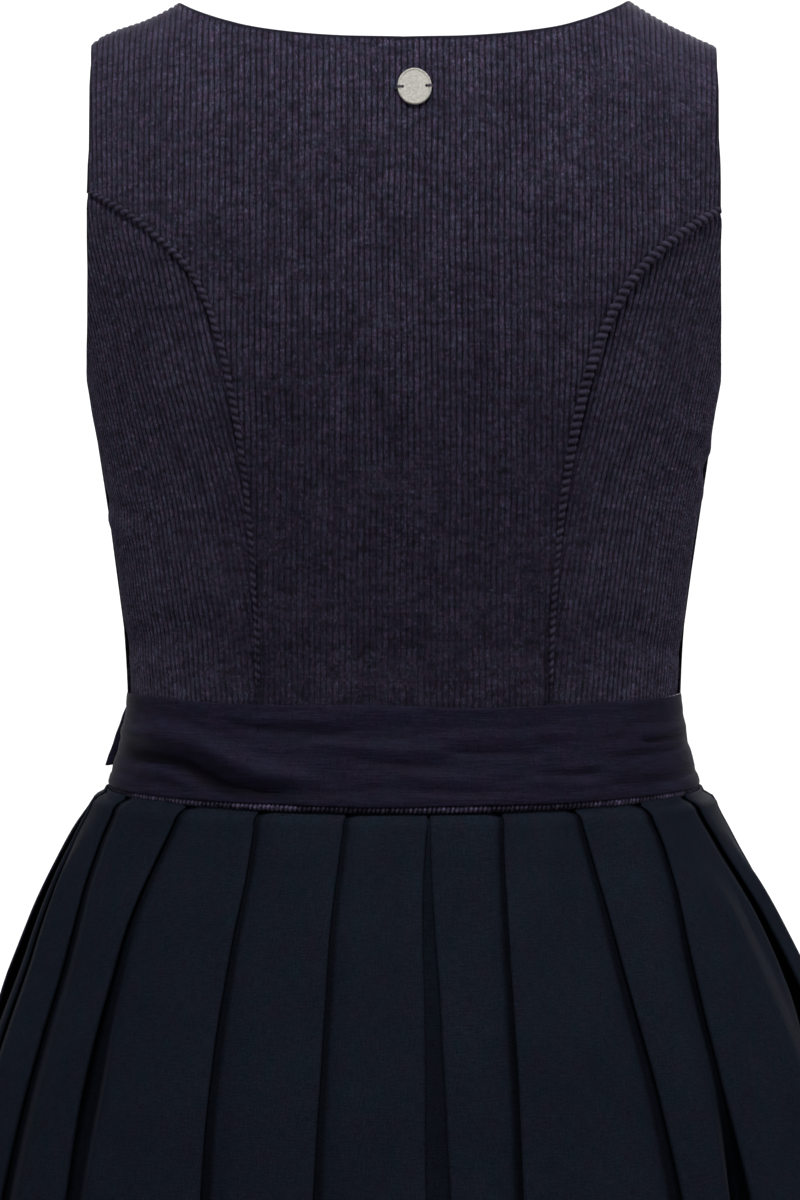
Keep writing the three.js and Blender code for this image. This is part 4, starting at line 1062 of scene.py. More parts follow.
def cord_panel(name, cad, edges, across, girth, front, phase, rows=88, side=1, roll=None, piped=None, also=()):
    """A corduroy panel whose columns follow the ribs.
    edges: the closed outline as (girth, row). across(girth, s, row) is the distance across the ribs and girth(w, s, row) its inverse.
    roll: the polyline (girth, row) of an edge that is turned in. piped: the polyline of a piped seam. also: extra columns, on upright edges."""
    outline = np.vstack([*edges, edges[0][:1]])
    po_s = s_of(outline[:, 1], front)
    po_w = across(outline[:, 0], outline[:, 1])
    lo, hi = po_w.min() + 0.12, po_w.max() - 0.12
    k = np.arange(math.floor(lo / WALE) - 1, math.ceil(hi / WALE) + 2)
    w = ((k[:, None] + phase) + SUB).ravel() * WALE
    high = np.tile(SUB_HIGH, len(k))
    groove = np.tile(SUB == 0, len(k))
    keep = (w > lo + 0.12) & (w < hi - 0.12)
    for v in also:
        keep &= np.abs(w - v) > 0.14
    w = np.concatenate([[lo], w[keep], [hi]])
    high = np.concatenate([[0.3], high[keep], [0.3]])
    groove = np.concatenate([[True], groove[keep], [True]])
    for v in also:
        k0 = np.searchsorted(w, v)
        w, high, groove = np.insert(w, k0, v), np.insert(high, k0, 0.5), np.insert(groove, k0, True)
    ends = np.array([crossings(po_w, po_s, v) for v in w])
    bottom, top = ends[:, 0], ends[:, 1]
    length = np.maximum(bottom - top, 0.05)
    near = np.array([0, 0.45, 0.95, 1.5, 2.3, 3.6, 5.6])
    k1 = np.minimum(1, length / 60)
    t = np.linspace(0, 1, rows - len(near) + 1)[1:]
    up = near[:, None] * k1
    down = up[-1] + t[:, None] * (length - up[-1])
    s = (top + np.vstack([up, down]))[::-1]  # from the waist up
    R, C = s.shape
    W = np.broadcast_to(w, s.shape)
    row = np.maximum(row_of_s(s, front), RIDGE_ROW)
    wobble = 0.8 * noise(W / 46, s / 60, 3) + 0.3 * noise(W / 11, s / 17, 5)
    edge_line = np.stack([po_w, po_s], -1)
    e = polyline_distance(W, s, edge_line)
    # the ribs wander a little, and not at the edges
    g = girth(W + wobble * np.minimum(1, np.maximum(0, e - 0.2) / 6), row)
    p = skin(side * g, row)
    n = skin_normal(side * g, row)
    fade = smooth(e / 1.8)
    vary = 1 + 0.16 * noise(W / 2.6, s / 9, 8)
    rib = high * vary
    # the ribs are crushed in patches, and more so low down
    crushed = 0.42 * smooth((-p[..., 2] - 150) / 160) * smooth((118 - np.abs(p[..., 0])) / 45) + 0.32 * smooth(noise(p[..., 0] / 26, p[..., 2] / 17, 15) * 1.6 - 0.1)
    rib = lerp(rib, 0.66 * vary, np.clip(crushed, 0, 0.75))
    d = 0.15 + WALE_HIGH * (rib - 0.72) * fade
    d += pulls(p)
    d += 0.34 * noise(p[..., 0] / 21, p[..., 2] / 34, 11) + 0.2 * noise(p[..., 0] / 9, p[..., 2] / 12, 12)
    edge_mark = np.zeros_like(d)
    if roll is not None:
        line = np.stack([across(roll[:, 0], roll[:, 1]), s_of(roll[:, 1], front)], -1)
        er = polyline_distance(W, s, line)
        bead = np.sqrt(np.maximum(0, 1 - ((er - 1.15) / 1.15) ** 2))
        on = smooth((2.5 - er) / 0.5)
        d = lerp(d, -0.75 + 1.35 * bead, on)
        edge_mark = np.maximum(edge_mark, smooth((2.4 - er) / 0.5))
    if piped is not None:
        line = np.stack([across(piped[:, 0], piped[:, 1]), s_of(piped[:, 1], front)], -1)
        ep = polyline_distance(W, s, line)
        d += -0.9 * np.exp(-((ep / 3.4) ** 2)) + 0.35 * np.exp(-(((ep - 7.5) / 4.5) ** 2))
    if front:  # the two halves meet on the shoulder
        p = p - np.array([0, 0.32, 0]) * np.exp(-np.maximum(s, 0) / 1.4)[..., None]
    outer = p + n * d[..., None]
    ic = np.where(groove)[0]
    ir = np.unique(np.concatenate([np.arange(0, R - len(near), 4), np.arange(R - len(near), R, 2), [R - 1]]))
    q = np.ix_(ir, ic)
    inner = p[q] - n[q] * 1.75
    wale = np.clip(rib * fade, 0, 1.2)
    W2, s2 = W[q], s[q]
    verts, loops, sizes = shell(outer, inner, ic, ir)
    uv = np.vstack([np.stack([W, s], -1).reshape(-1, 2), np.stack([W2, s2], -1).reshape(-1, 2)]) / 100
    inner_wale = np.full(W2.size, 0.45)
    attrs = {
        "wale": np.concatenate([wale.ravel(), inner_wale]),
        "edge": np.concatenate([edge_mark.ravel(), np.zeros(W2.size)]),
    }
    loops = fix_winding(verts, loops, sizes)
    return make(name, verts, loops, sizes, MATS["corduroy"], cad, uv, attrs)


def mir(line):
    return line * [-1, 1]


LINES = 88

strap_b, strap_f = shoulder(False), shoulder(True)
side_edge = {k: np.vstack([back_seam[k], back_over[k][1:]]) for k in (1, -1)}
outline = [
    waist_line(-back_seam[-1][0, 0], back_seam[1][0, 0], 120),
    side_edge[1],
    strap_b[::-1],
    back_neck[::-1],
    mir(back_neck),
    mir(strap_b),
    mir(side_edge[-1])[::-1],
]
full_neck = np.vstack([mir(back_neck)[::-1], back_neck])
cord_back = cord_panel(
    "bodice_centre_back",
    "back_centre_panel",
    outline,
    lambda g, row: g,
    lambda w, row: w,
    False,
    0.5,
    LINES,
    roll=full_neck,
    piped=None,
)

# Ribs of the side backs lean out towards the top.
LEAN_LEVELS = np.array([-430, -380, -330, -280, -230, -180, -130, -80, 0.0])
LEAN_MM = np.array([-1.5, 0, 4, 11, 20.5, 31, 42, 53, 60.0])


_lean0 = np.interp(_par[:, 0], LEAN_LEVELS, LEAN_MM)
# the side seam runs steadily inwards across the ribs on the way up
_across = (_SIDE - _lean0)[::-1]
_lean = _SIDE - np.minimum.accumulate(_across - 1e-4 * np.arange(NR))[::-1]


def lean(row):
    return np.interp(row, _rr, _lean)


side_line = np.stack(
    [at_row(_SIDE, r := np.linspace(row_of(WAIST_SIDE + 0.15), row_of(UNDERARM), 120)), r], -1
)
_upright = float(side_line[-1, 0] - lean(side_line[-1, 1]))
for side_, tag in ((1, "r"), (-1, "l")):
    side_outline = [
        waist_line(back_seam[side_][0, 0], side_line[0, 0], 60),
        side_line,
        back_under[side_][::-1],
        back_seam[side_][::-1],
    ]
    cord_panel(
        f"bodice_side_back_{tag}",
        f"back_side_panel_{tag}",
        side_outline,
        lambda g, row: g - lean(row),
        lambda w, row: w + lean(row),
        False,
        0.2,
        LINES,
        side=side_,
        piped=back_seam[side_],
        also=(_upright - 0.03, _upright + 0.03),
    )

front_side_outline = [
    waist_line(side_line[0, 0], front_seam[0, 0], 60),
    front_seam,
    front_under,
    side_line[::-1],
]
front_outer = np.vstack([front_seam, front_over[1:]])
centre_rows = np.linspace(row_of(WAIST_SIDE + 0.15), front_neck[0, 1], 120)
centre_line = np.stack([at_row(_TOT, centre_rows), centre_rows], -1)
front_outline = [
    waist_line(front_outer[0, 0], centre_line[0, 0], 60),
    centre_line,
    front_neck,
    strap_f,
    front_outer[::-1],
]


def front_width(row):
    """From the side seam to the front seam, along the girth."""
    return np.interp(row, front_seam[::-1, 1], front_seam[::-1, 0]) - at_row(_SIDE, row)


_plumb = float(front_seam[0, 0] - at_row(_TOT, front_seam[0, 1]))
for side_, tag in ((1, "r"), (-1, "l")):
    cord_panel(
        f"bodice_side_front_{tag}",
        f"front_side_panel_{tag}",
        front_side_outline,
        lambda g, row: np.minimum((g - at_row(_SIDE, row)) / front_width(row), 1) * 130,
        lambda w, row: w * front_width(row) / 130 + at_row(_SIDE, row),
        True,
        0.1,
        LINES,
        side=side_,
        piped=front_seam,
    )
    cord_panel(
        f"bodice_centre_front_{tag}",
        f"front_centre_panel_{tag}",
        front_outline,
        lambda g, row: g - at_row(_TOT, row),
        lambda w, row: w + at_row(_TOT, row),
        True,
        0.5,
        LINES,
        side=side_,
        roll=front_neck,
        also=(_plumb - 0.03, _plumb + 0.03),
    )


# ------------------------------------------------------------------- piping
def resample(points, step):
    d = np.concatenate([[0], np.cumsum(np.linalg.norm(np.diff(points, axis=0), axis=1))])
    n = max(8, int(round(d[-1] / step)))
    t = np.linspace(0, d[-1], n + 1)
    return np.stack([np.interp(t, d, points[:, k]) for k in range(points.shape[1])], -1), t


def rope(name, cad, path, out, radius, sink, rib, slant, closed=False, step=0.6, groove=0.3, look="piping"):
    """Corduroy wound round a cord: a tube with its ribs across it."""
    both_ = np.hstack([path, out])
    if closed:
        both_ = np.vstack([both_, both_[:1]])
    fine, far = resample(both_, step)
    if closed:
        fine, far = fine[:-1], far[:-1]
    p, n = fine[:, :3], unit(fine[:, 3:])
    rad = radius(far / max(far[-1], 1)) if callable(radius) else np.full(len(p), radius)
    deep = sink(far / max(far[-1], 1)) if callable(sink) else sink
    p = p + n * (rad - deep)[:, None]
    a = np.linspace(0, 2 * math.pi, 12, endpoint=False)
    jitter = 0.35 * noise(far / 9, far * 0, 21) + 0.2 * noise(far / 3.1, far * 0, 23)
    count = max(1, round((far[-1] + (step if closed else 0)) / rib))
    turn = far / (far[-1] + (step if closed else 0)) * count * 2 * math.pi
    phase = (turn + jitter)[:, None] + slant * np.cos(a)[None, :]
    rib_h = np.abs(np.cos(phase / 2)) ** 0.8
    size = 1 + 0.14 * noise(np.floor((turn + jitter) / (2 * math.pi) + 0.5) * 1.7, far * 0, 29)
    r = rad[:, None] * (1.04 - groove + groove * rib_h * size[:, None])
    way = unit(np.roll(p, -1, 0) - np.roll(p, 1, 0)) if closed else unit(np.gradient(p, axis=0))
    across = unit(np.cross(way, n))
    up = np.cross(across, way)
    v = p[:, None] + across[:, None] * (np.cos(a) * r)[..., None] + up[:, None] * (np.sin(a) * r * 0.94)[..., None]
    R, C = v.shape[:2]
    q = quads(R, C, 0, True)
    loops, sizes = [q.ravel()], [np.full(len(q), 4)]
    if closed:
        c = np.arange(C)
        d = (c + 1) % C
        qq = np.stack([(R - 1) * C + c, (R - 1) * C + d, d, c], -1)
        loops.append(qq.ravel())
        sizes.append(np.full(C, 4))
    else:
        loops += [np.arange(C)[::-1], (R - 1) * C + np.arange(C)]
        sizes += [np.array([C]), np.array([C])]
    verts, loops, sizes = v.reshape(-1, 3), np.concatenate(loops), np.concatenate(sizes)
    loops = fix_winding(verts, loops, sizes)
    uv = np.stack(np.broadcast_arrays(far[:, None], a[None, :] * 2.0), -1).reshape(-1, 2) / 100
    return make(name, verts, loops, sizes, MATS[look], cad, uv, {"wale": np.clip(rib_h * size[:, None], 0, 1).ravel()})


for sign, tag in ((1, "r"), (-1, "l")):
    line = back_seam[sign][6:]
    body = skin(sign * line[:, 0], line[:, 1])
    run = np.concatenate([[0], np.cumsum(np.linalg.norm(np.diff(body, axis=0), axis=1))])
    keep = run < run[-1] - 3.2
    line, body = line[keep], body[keep]
    run = run[keep]
    under = float(np.interp(-BAND_TOP - 1, -body[:, 2][::-1], run[::-1])) / run[-1]
    rope(
        f"princess_piping_{tag}",
        f"back_piping_{tag}",
        body,
        skin_normal(sign * line[:, 0], line[:, 1]),
        lambda t: lerp(0.8, 1.35 if sign > 0 else 1.3, smooth((t - under) / 0.02)) + (1.25 if sign > 0 else 0.45) * smooth((t - 0.32) / 0.3) - 0.5 * smooth((t - 0.95) / 0.05),
        lambda t: lerp(1.6, 0.85 if sign > 0 else 1.0, smooth((t - under) / 0.02)),
        4.2,
        -1.25 * sign,
        groove=0.5,
    )
wg = np.linspace(-_wg[-1], _wg[-1], 361)[:-1]
wrow = row_of(waist_level(angle_at_waist(wg)) + 2.3)
wwide = at_row(_TOT, wrow) / _wg[-1]
waist_pipe = rope(
    "waist_seam_piping",
    "waist_piping",
    skin(wg * wwide, wrow),
    skin_normal(wg * wwide, wrow),
    2.05,
    -1.0,
    2.3,
    1.2,
    closed=True,
    groove=0.42,
    look="waist_piping",
)

# ---------------------------------------------------------------------- tie
ring_cache = {}


def torso_ring(level):
    key = round(float(level), 3)
    if key not in ring_cache:
        ring_cache[key] = half_ring(*catmull(TORSO, row_of(level))[1:])
    return ring_cache[key]


def girth_at_angle(level, angle):
    x, y, g, a = torso_ring(level)
    return np.sign(angle) * np.interp(abs(angle), a, g)


# Wrinkles of the tie on the back, in x and z: the line they follow, half width, depth.
TIE_WRINKLES = [
    ([(-152, -387), (-136, -388), (-121, -389), (-108, -392.5), (-96, -399), (-84, -404.5), (-66, -407.5), (-40, -408)], 4.6, -3.6),
    ([(-148, -376), (-122, -377), (-104, -381), (-88, -388.5), (-70, -395.5), (-36, -400)], 5.6, 4.4),
    ([(-138, -393.5), (-120, -395.5), (-104, -402)], 3.0, 1.9),
    ([(-92, -370), (-74, -372.5), (-40, -373.5), (-14, -372.5)], 1.9, -1.5),
    ([(-100, -364.5), (-70, -367.5), (-30, -368.5)], 1.8, 0.9),
    ([(-128, -368), (-112, -369), (-98, -374)], 2.2, -1.1),
    ([(-30, -387), (0, -390.5), (34, -391)], 2.0, -1.0),
    ([(-50, -380), (-10, -383), (40, -384)], 2.6, 1.0),
    ([(14, -383.5), (46, -384.5), (76, -385.5)], 1.5, -1.4),
    ([(62, -395), (84, -396), (104, -394)], 1.5, -1.8),
    ([(58, -399.5), (90, -401), (112, -399)], 2.0, 1.1),
    ([(116, -380), (132, -379), (147, -376.5)], 1.4, -1.9),
    ([(118, -376.5), (134, -375.5), (147, -373)], 1.5, 1.2),
    ([(100, -388), (126, -386), (148, -383)], 1.7, -1.3),
    ([(106, -371), (128, -370), (148, -367)], 1.8, -1.0),
    ([(96, -403), (128, -400), (150, -396)], 2.0, -1.1),
    ([(-26, -402), (20, -404), (60, -405)], 1.7, -0.9),
    ([(60, -374), (96, -376), (120, -375)], 2.0, 0.9),
    ([(10, -371), (50, -372), (86, -370)], 1.5, -0.7),
    ([(-8, -396), (24, -397.5), (52, -397)], 1.4, 0.7),
]


def wrinkle_field(x, z, table):
    d = np.zeros(x.shape)
    for line, wide, deep in table:
        line = np.array(line, float)
        seg = np.linalg.norm(np.diff(line, axis=0), axis=1)
        cum = np.concatenate([[0], np.cumsum(seg)])
        best, where = np.full(x.shape, 1e9), np.zeros(x.shape)
        for k in range(len(line) - 1):
            far, t = near_segment(x, z, line[k], line[k + 1])
            near_ = far < best
            best = np.where(near_, far, best)
            where = np.where(near_, (cum[k] + np.clip(t, 0, 1) * seg[k]) / cum[-1], where)
        taper = smooth(where / 0.22) * smooth((1 - where) / 0.3)
        d += deep * np.exp(-((best / (wide * (0.6 + 0.4 * taper))) ** 2)) * (0.12 + 0.88 * taper)
    return d


def tie_off(share, angle):
    off = catmull(TIE, np.asarray(share) * 4)[..., 1]
    c = np.cos(angle)
    return off + np.where(c > 0, 0.25 * np.sqrt(np.maximum(c, 0)), 0.4 * np.sqrt(np.maximum(-c, 0)))


def tie_strip(name, cad, a0, a1, columns, wrinkles, seed):
    """A strip round the waist, with turned edges. a0 to a1 in degrees, through the centre back at 0."""
    deg = np.linspace(a0, a1, columns)
    ang = np.radians(np.where(deg > 180, deg - 360, deg))
    share = np.concatenate([[0, 0.012, 0.03, 0.055, 0.085], np.linspace(0.12, 0.88, 22), [0.915, 0.945, 0.97, 0.988, 1.0]])[::-1]
    P, N, off = [], [], []
    for sh in share:
        foot = waist_level(ang) + BAND_FOOT + 0.5 * noise(ang * 3.1, ang * 0, seed) - 0.1
        top = band_top(ang) + 1.0 * noise(ang * 2.3, ang * 0 + 5, seed)
        lv = lerp(top, foot, sh)
        g = np.array([girth_at_angle(l, a) for l, a in zip(lv, ang)])
        rw = row_of(lv)
        P.append(skin(g, rw))
        N.append(skin_normal(g, rw))
        off.append(tie_off(sh, ang))
    P, N, off = np.array(P), np.array(N), np.array(off)
    around = np.concatenate([[0], np.cumsum(np.linalg.norm(np.diff(P[15], axis=0), axis=1))])
    x, z = P[..., 0], P[..., 2]
    back_ = P[..., 1] < 0
    sh2 = np.broadcast_to(share[:, None], x.shape)
    A = np.broadcast_to(around, x.shape)
    hold = smooth(np.minimum(sh2, 1 - sh2) / 0.10)
    d = np.where(back_, wrinkle_field(x, z, wrinkles), 0) * lerp(0.25, 1, hold)
    d += hold * (0.55 * noise(A / 38, z / 5.5, seed + 1) + 0.28 * noise(A / 17, z / 2.6, seed + 2) + 0.12 * noise(A / 9, z / 1.5, seed + 3))
    hem = np.minimum(sh2, 1 - sh2) * 50
    d += 0.22 * smooth((4.6 - hem) / 0.6)  # the turned edge is a little thicker
    thick = 0.42 * np.sqrt(np.clip(hem / 1.2, 0.02, 1))
    # it rests on the bodice, and on the piping at its foot
    least = 1.15 + 3.45 * smooth((0.155 - (1 - sh2)) / 0.07)
    lift = off + d - least
    mid = P + N * (least + 0.5 * (lift + np.sqrt(lift**2 + 0.5)))[..., None]
    n2 = grid_normals(mid)
    n2 = np.where((n2 * N).sum(-1, keepdims=True) < 0, -n2, n2)
    outer, inner = mid + n2 * thick[..., None], mid - n2 * thick[..., None]
    verts, loops, sizes = shell(outer, inner)
    loops = fix_winding(verts, loops, sizes)
    uv = np.stack([A, z], -1).reshape(-1, 2) / 100
    # painted shade: the wrinkle troughs are painted darker
    low = np.clip(-d / 2.6, 0, 1) ** 1.2 * hold * 0.8
    return make(name, verts, loops, sizes, MATS["tie"], cad, np.vstack([uv, uv]), {"shade": np.concatenate([low.ravel(), low.ravel()])})


tie = tie_strip("waist_tie_back", "tie_back", TIE_ENDS[0] + 0.1, TIE_ENDS[1] - 0.1, 300, TIE_WRINKLES, 31)
waistband = tie_strip("apron_band_front", "apron_waistband", TIE_ENDS[1] + 0.1, 360 + TIE_ENDS[0] - 0.1, 200, [], 47)

# -------------------------------------------------------------------- skirt
def skirt_ring(level):
    p = [level] + [through(SKIRT[:, 0], SKIRT[:, k], level) for k in range(1, 6)]
    x, y, g, a = half_ring(p[1], p[2], p[3], p[4], p[4])
    tx, ty = np.gradient(x), np.gradient(y)
    m = np.hypot(tx, ty)
    return dict(x=x, y=y, g=g, a=a, nx=ty / m, ny=-tx / m, total=g[-1], lean=p[5])


def on_skirt(ring, girth, off):
    """Points of a skirt ring, as x and y, at girths from the centre back, moved out by off, and their angles."""
    g = np.asarray(girth, float).copy()
    g = np.where(g > ring["total"], g - 2 * ring["total"], g)
    g = np.where(g < -ring["total"], g + 2 * ring["total"], g)
    sign, a = np.where(g < 0, -1.0, 1.0), np.abs(g)
    i = lambda k: np.interp(a, ring["g"], ring[k])
    nx, ny = i("nx"), i("ny")
    m = np.hypot(nx, ny)
    x = sign * (i("x") + off * nx / m) + ring["lean"]
    return x, i("y") + off * ny / m, sign * i("a")


def fold_girth(ring, fold, level):
    d = through(FOLD_LEVELS, fold, level)
    return math.copysign(float(np.interp(math.radians(abs(d)), ring["a"], ring["g"])), d)


def fold_shape(side, i, level):
    """How far a fold edge stands off the cloth under it, the radius of its bend and the width of the dip beside it."""
    highs, dips = (RIGHT_HIGH, RIGHT_DIP) if side > 0 else (LEFT_HIGH, LEFT_DIP)
    high = max(2.6, through(SHAPE_LEVELS, highs[i], level))
    dip = through(SHAPE_LEVELS, dips[i], level)
    t = smooth((WAIST_SIDE - level) / 200)
    u = smooth((-607 - level) / 400)
    soft = 0.7 + 0.45 * t + 1.4 * u + 0.05 * max(0, high - 6)
    return high, min(soft, high / 2.6), dip


# Soft ridges that the cloth has inside a face: side, face, share across at waist and low, from level, to level, half width, height.
FACE_RIDGES = [
    (1, 3, 0.40, 0.55, -425, -640, 0.13, 3.4),
    (1, 3, 0.72, 0.80, -440, -640, 0.10, -2.2),
    (1, 4, 0.30, 0.36, -418, -640, 0.15, 3.0),
    (1, 4, 0.62, 0.66, -430, -640, 0.12, -1.8),
    (1, 2, 0.35, 0.40, -520, -760, 0.22, 1.6),
    (-1, 4, 0.42, 0.45, -414, -640, 0.16, 3.2),
    (-1, 4, 0.72, 0.75, -430, -640, 0.12, -1.6),
    (-1, 3, 0.30, 0.28, -440, -700, 0.2, 1.3),
    (-1, 2, 0.55, 0.5, -520, -760, 0.25, 1.2),
    (-1, 1, 0.5, 0.5, -560, -900, 0.3, 1.0),
    (1, 1, 0.5, 0.5, -560, -900, 0.3, 1.0),
    (1, 6, 0.5, 0.5, -440, -900, 0.22, 2.0),
    (-1, 6, 0.5, 0.5, -440, -900, 0.22, 2.0),
]
FACE_STEPS = 15
ARC = np.linspace(0, math.pi, 7)


def pleat_path(level, side, folds, ring):
    """One side's cloth from the centre back outwards: for each fold its points as girth, height, and how shaded it lies."""
    here = [side * fold_girth(ring, f, level) for f in folds]
    out = []
    for i, f in enumerate(folds):
        nxt = here[i + 1] if i + 1 < len(folds) else 2 * ring["total"] - here[i]
        high, soft, _ = fold_shape(side, i, level)
        turn = float(np.clip((118 - (nxt - here[i])) / 2, 5, 11))
        h = here[i]
        pts = []
        # painted shade: the cloth that lies under a fold is painted darker, less so in the centre back pleat
        hid = 0.12 if i == 0 else 0.45
        # the end of the cloth that lies under this fold, turned back
        r0 = min(0.9, (high - soft * 2) / 2 * 0.8 + 0.2)
        y0, y1 = -high, -high + 2 * r0
        for a in np.linspace(0, math.pi, 5):
            pts.append((h + turn + r0 * math.sin(a), lerp(y0, y1, (1 - math.cos(a)) / 2), hid))
        # back towards the edge, rising
        for t in (0.35, 0.7):
            pts.append((lerp(h + turn, h + soft, t), lerp(y1, -2 * soft, smooth(t)), hid))
        # painted shade: the underside of the fold's bend is painted darker
        for a in ARC:
            pts.append((h + soft - soft * math.sin(a), -soft - soft * math.cos(a), float(0.8 * smooth(1 - a / 2.0))))
        last = i + 1 == len(folds)
        nh, _, dip = fold_shape(side, i + 1, level) if not last else (0.0, 0.0, 10.0)
        far = (nxt if not last else ring["total"]) - (h + soft)
        deep = smooth((WAIST_SIDE - level) / 160)
        for k in range(1, FACE_STEPS):
            t = (k / FACE_STEPS) ** 0.8
            dip_share = min(0.8, dip / max(far, 1))
            y = -nh * (0.22 * smooth(t / 1.0) + 0.78 * smooth((t - 1 + dip_share) / dip_share))
            y += (0.3 + 1.1 * deep) * math.sin(math.pi * min(1, t * 1.1) ** 0.8) * 0.6
            for rs, face, c0, c1, l0, l1, wide, tall in FACE_RIDGES:
                if rs == side and face == i and level < l0 + 5:
                    c = lerp(c0, c1, np.clip((level - l0) / (l1 - l0), 0, 1))
                    fall = smooth((l0 - level) / 40) * smooth((level - (l1 - 160)) / 160)
                    y += tall * fall * math.exp(-(((t - c) / wide) ** 2)) * smooth(t / 0.12) * smooth((1 - t) / 0.12)
            # painted shade: the last few mm before the next fold's edge, and the far part of a deep dip, are painted
            # darker
            left_ = max(0.0, far * (1 - t) - (0.0 if last else fold_shape(side, i + 1, level)[1]))
            dim = 0.0 if last else float(0.8 * smooth(1 - left_ / 4.5) ** 0.8)
            cave = float(np.clip((nh - 9) / 13, 0, 1) * 0.4 * smooth((t - 1 + dip_share * 0.9) / (dip_share * 0.9)))
            pts.append((h + soft + far * t, y, max(dim, cave)))
        out.append([(side * g, y, s) for g, y, s in pts])
    return out


def skirt_run(level, which):
    ring = skirt_ring(level)
    right = pleat_path(level, 1, RIGHT_FOLDS, ring)
    left = pleat_path(level, -1, LEFT_FOLDS, ring)
    k = SIDE_FOLD
    cut = 3  # the side seam lies inside the hidden turn
    if which == "back":
        run = [p for f in left[:k] for p in f][::-1]
        run = left[k][:cut][::-1] + run + [p for f in right[:k] for p in f] + right[k][:cut]
    else:
        wrap = lambda p: (p[0] if p[0] > 0 else p[0] + 2 * ring["total"], p[1], p[2])
        run = right[k][cut:] + [p for f in right[k + 1 :] for p in f] + [(ring["total"], 0.0, 0.0)]
        tail = left[k][cut:] + [p for f in left[k + 1 :] for p in f]
        run = run + [wrap(p) for p in tail[::-1]]
    return ring, np.array(run)


def skirt_piece(name, cad, which, rows):
    t = np.linspace(0, 1, rows)
    top = WAIST_SIDE + 1.9
    levels = top + (HEM - top) * (0.35 * t + 0.65 * t**1.9)
    levels[-1] = HEM
    P, UV, SH = [], [], []
    for lv in levels[::-1]:
        ring, run = skirt_run(lv, which)
        SH.append(run[:, 2])
        x, y, ang = on_skirt(ring, run[:, 0], run[:, 1] + 1.3 * float(smooth((lv - WAIST_SIDE + 16) / 15)))
        dip = (waist_level(ang) - WAIST_SIDE) * (1 - np.clip((WAIST_SIDE - lv) / 150, 0, 1))
        z = lv + dip
        hang = smooth((WAIST_SIDE - lv) / 200)
        z = z + hang * 2.2 * np.sin(run[:, 0] / 47.0) * smooth((-lv - 800) / 200)
        P.append(np.stack([x, y, z], -1))
        UV.append(np.stack([run[:, 0], np.full(len(run), lv)], -1))
    P = np.array(P)
    # the cloth's own width runs evenly along the path
    mid = P[rows // 3]
    far = np.concatenate([[0], np.cumsum(np.linalg.norm(np.diff(mid, axis=0), axis=1))])
    UV = np.stack([np.broadcast_to(far, P.shape[:2]), P[..., 2]], -1)
    u = UV[..., 0]
    n = grid_normals(P)
    soft = smooth((-P[..., 2] - 430) / 160)
    P = P + n * (0.5 * soft * noise(u / 30, P[..., 2] / 90, 61) + 0.16 * noise(u / 11, P[..., 2] / 30, 62))[..., None]
    n = grid_normals(P)
    for _ in range(2):  # even out the normals along the cloth
        n[:, 1:-1] = unit(n[:, :-2] + 2 * n[:, 1:-1] + n[:, 2:])
    hem = smooth((P[..., 2] - HEM - 33) / -1.2)
    half = 0.38
    outer = P + n * (half + 0.12 * hem)[..., None]
    inner = P - n * (half + 0.5 * hem)[..., None]
    verts, loops, sizes = shell(outer, inner)
    loops = fix_winding(verts, loops, sizes)
    uv = UV.reshape(-1, 2) / 100
    # painted shade: the inside of the skirt is painted darker too
    return make(name, verts, loops, sizes, MATS["skirt"], cad, np.vstack([uv, uv]), {"shade": np.concatenate([np.ravel(SH), np.full(np.size(SH), 0.4)])})


SKIRT_ROWS = 96
skirt_b = skirt_piece("pleated_skirt_back", "skirt_back", "back", SKIRT_ROWS)
skirt_f = skirt_piece("pleated_skirt_front", "skirt_front", "front", SKIRT_ROWS - 12)


# -------------------------------------------------------------------- apron
row_of_apron = Falling(APRON)


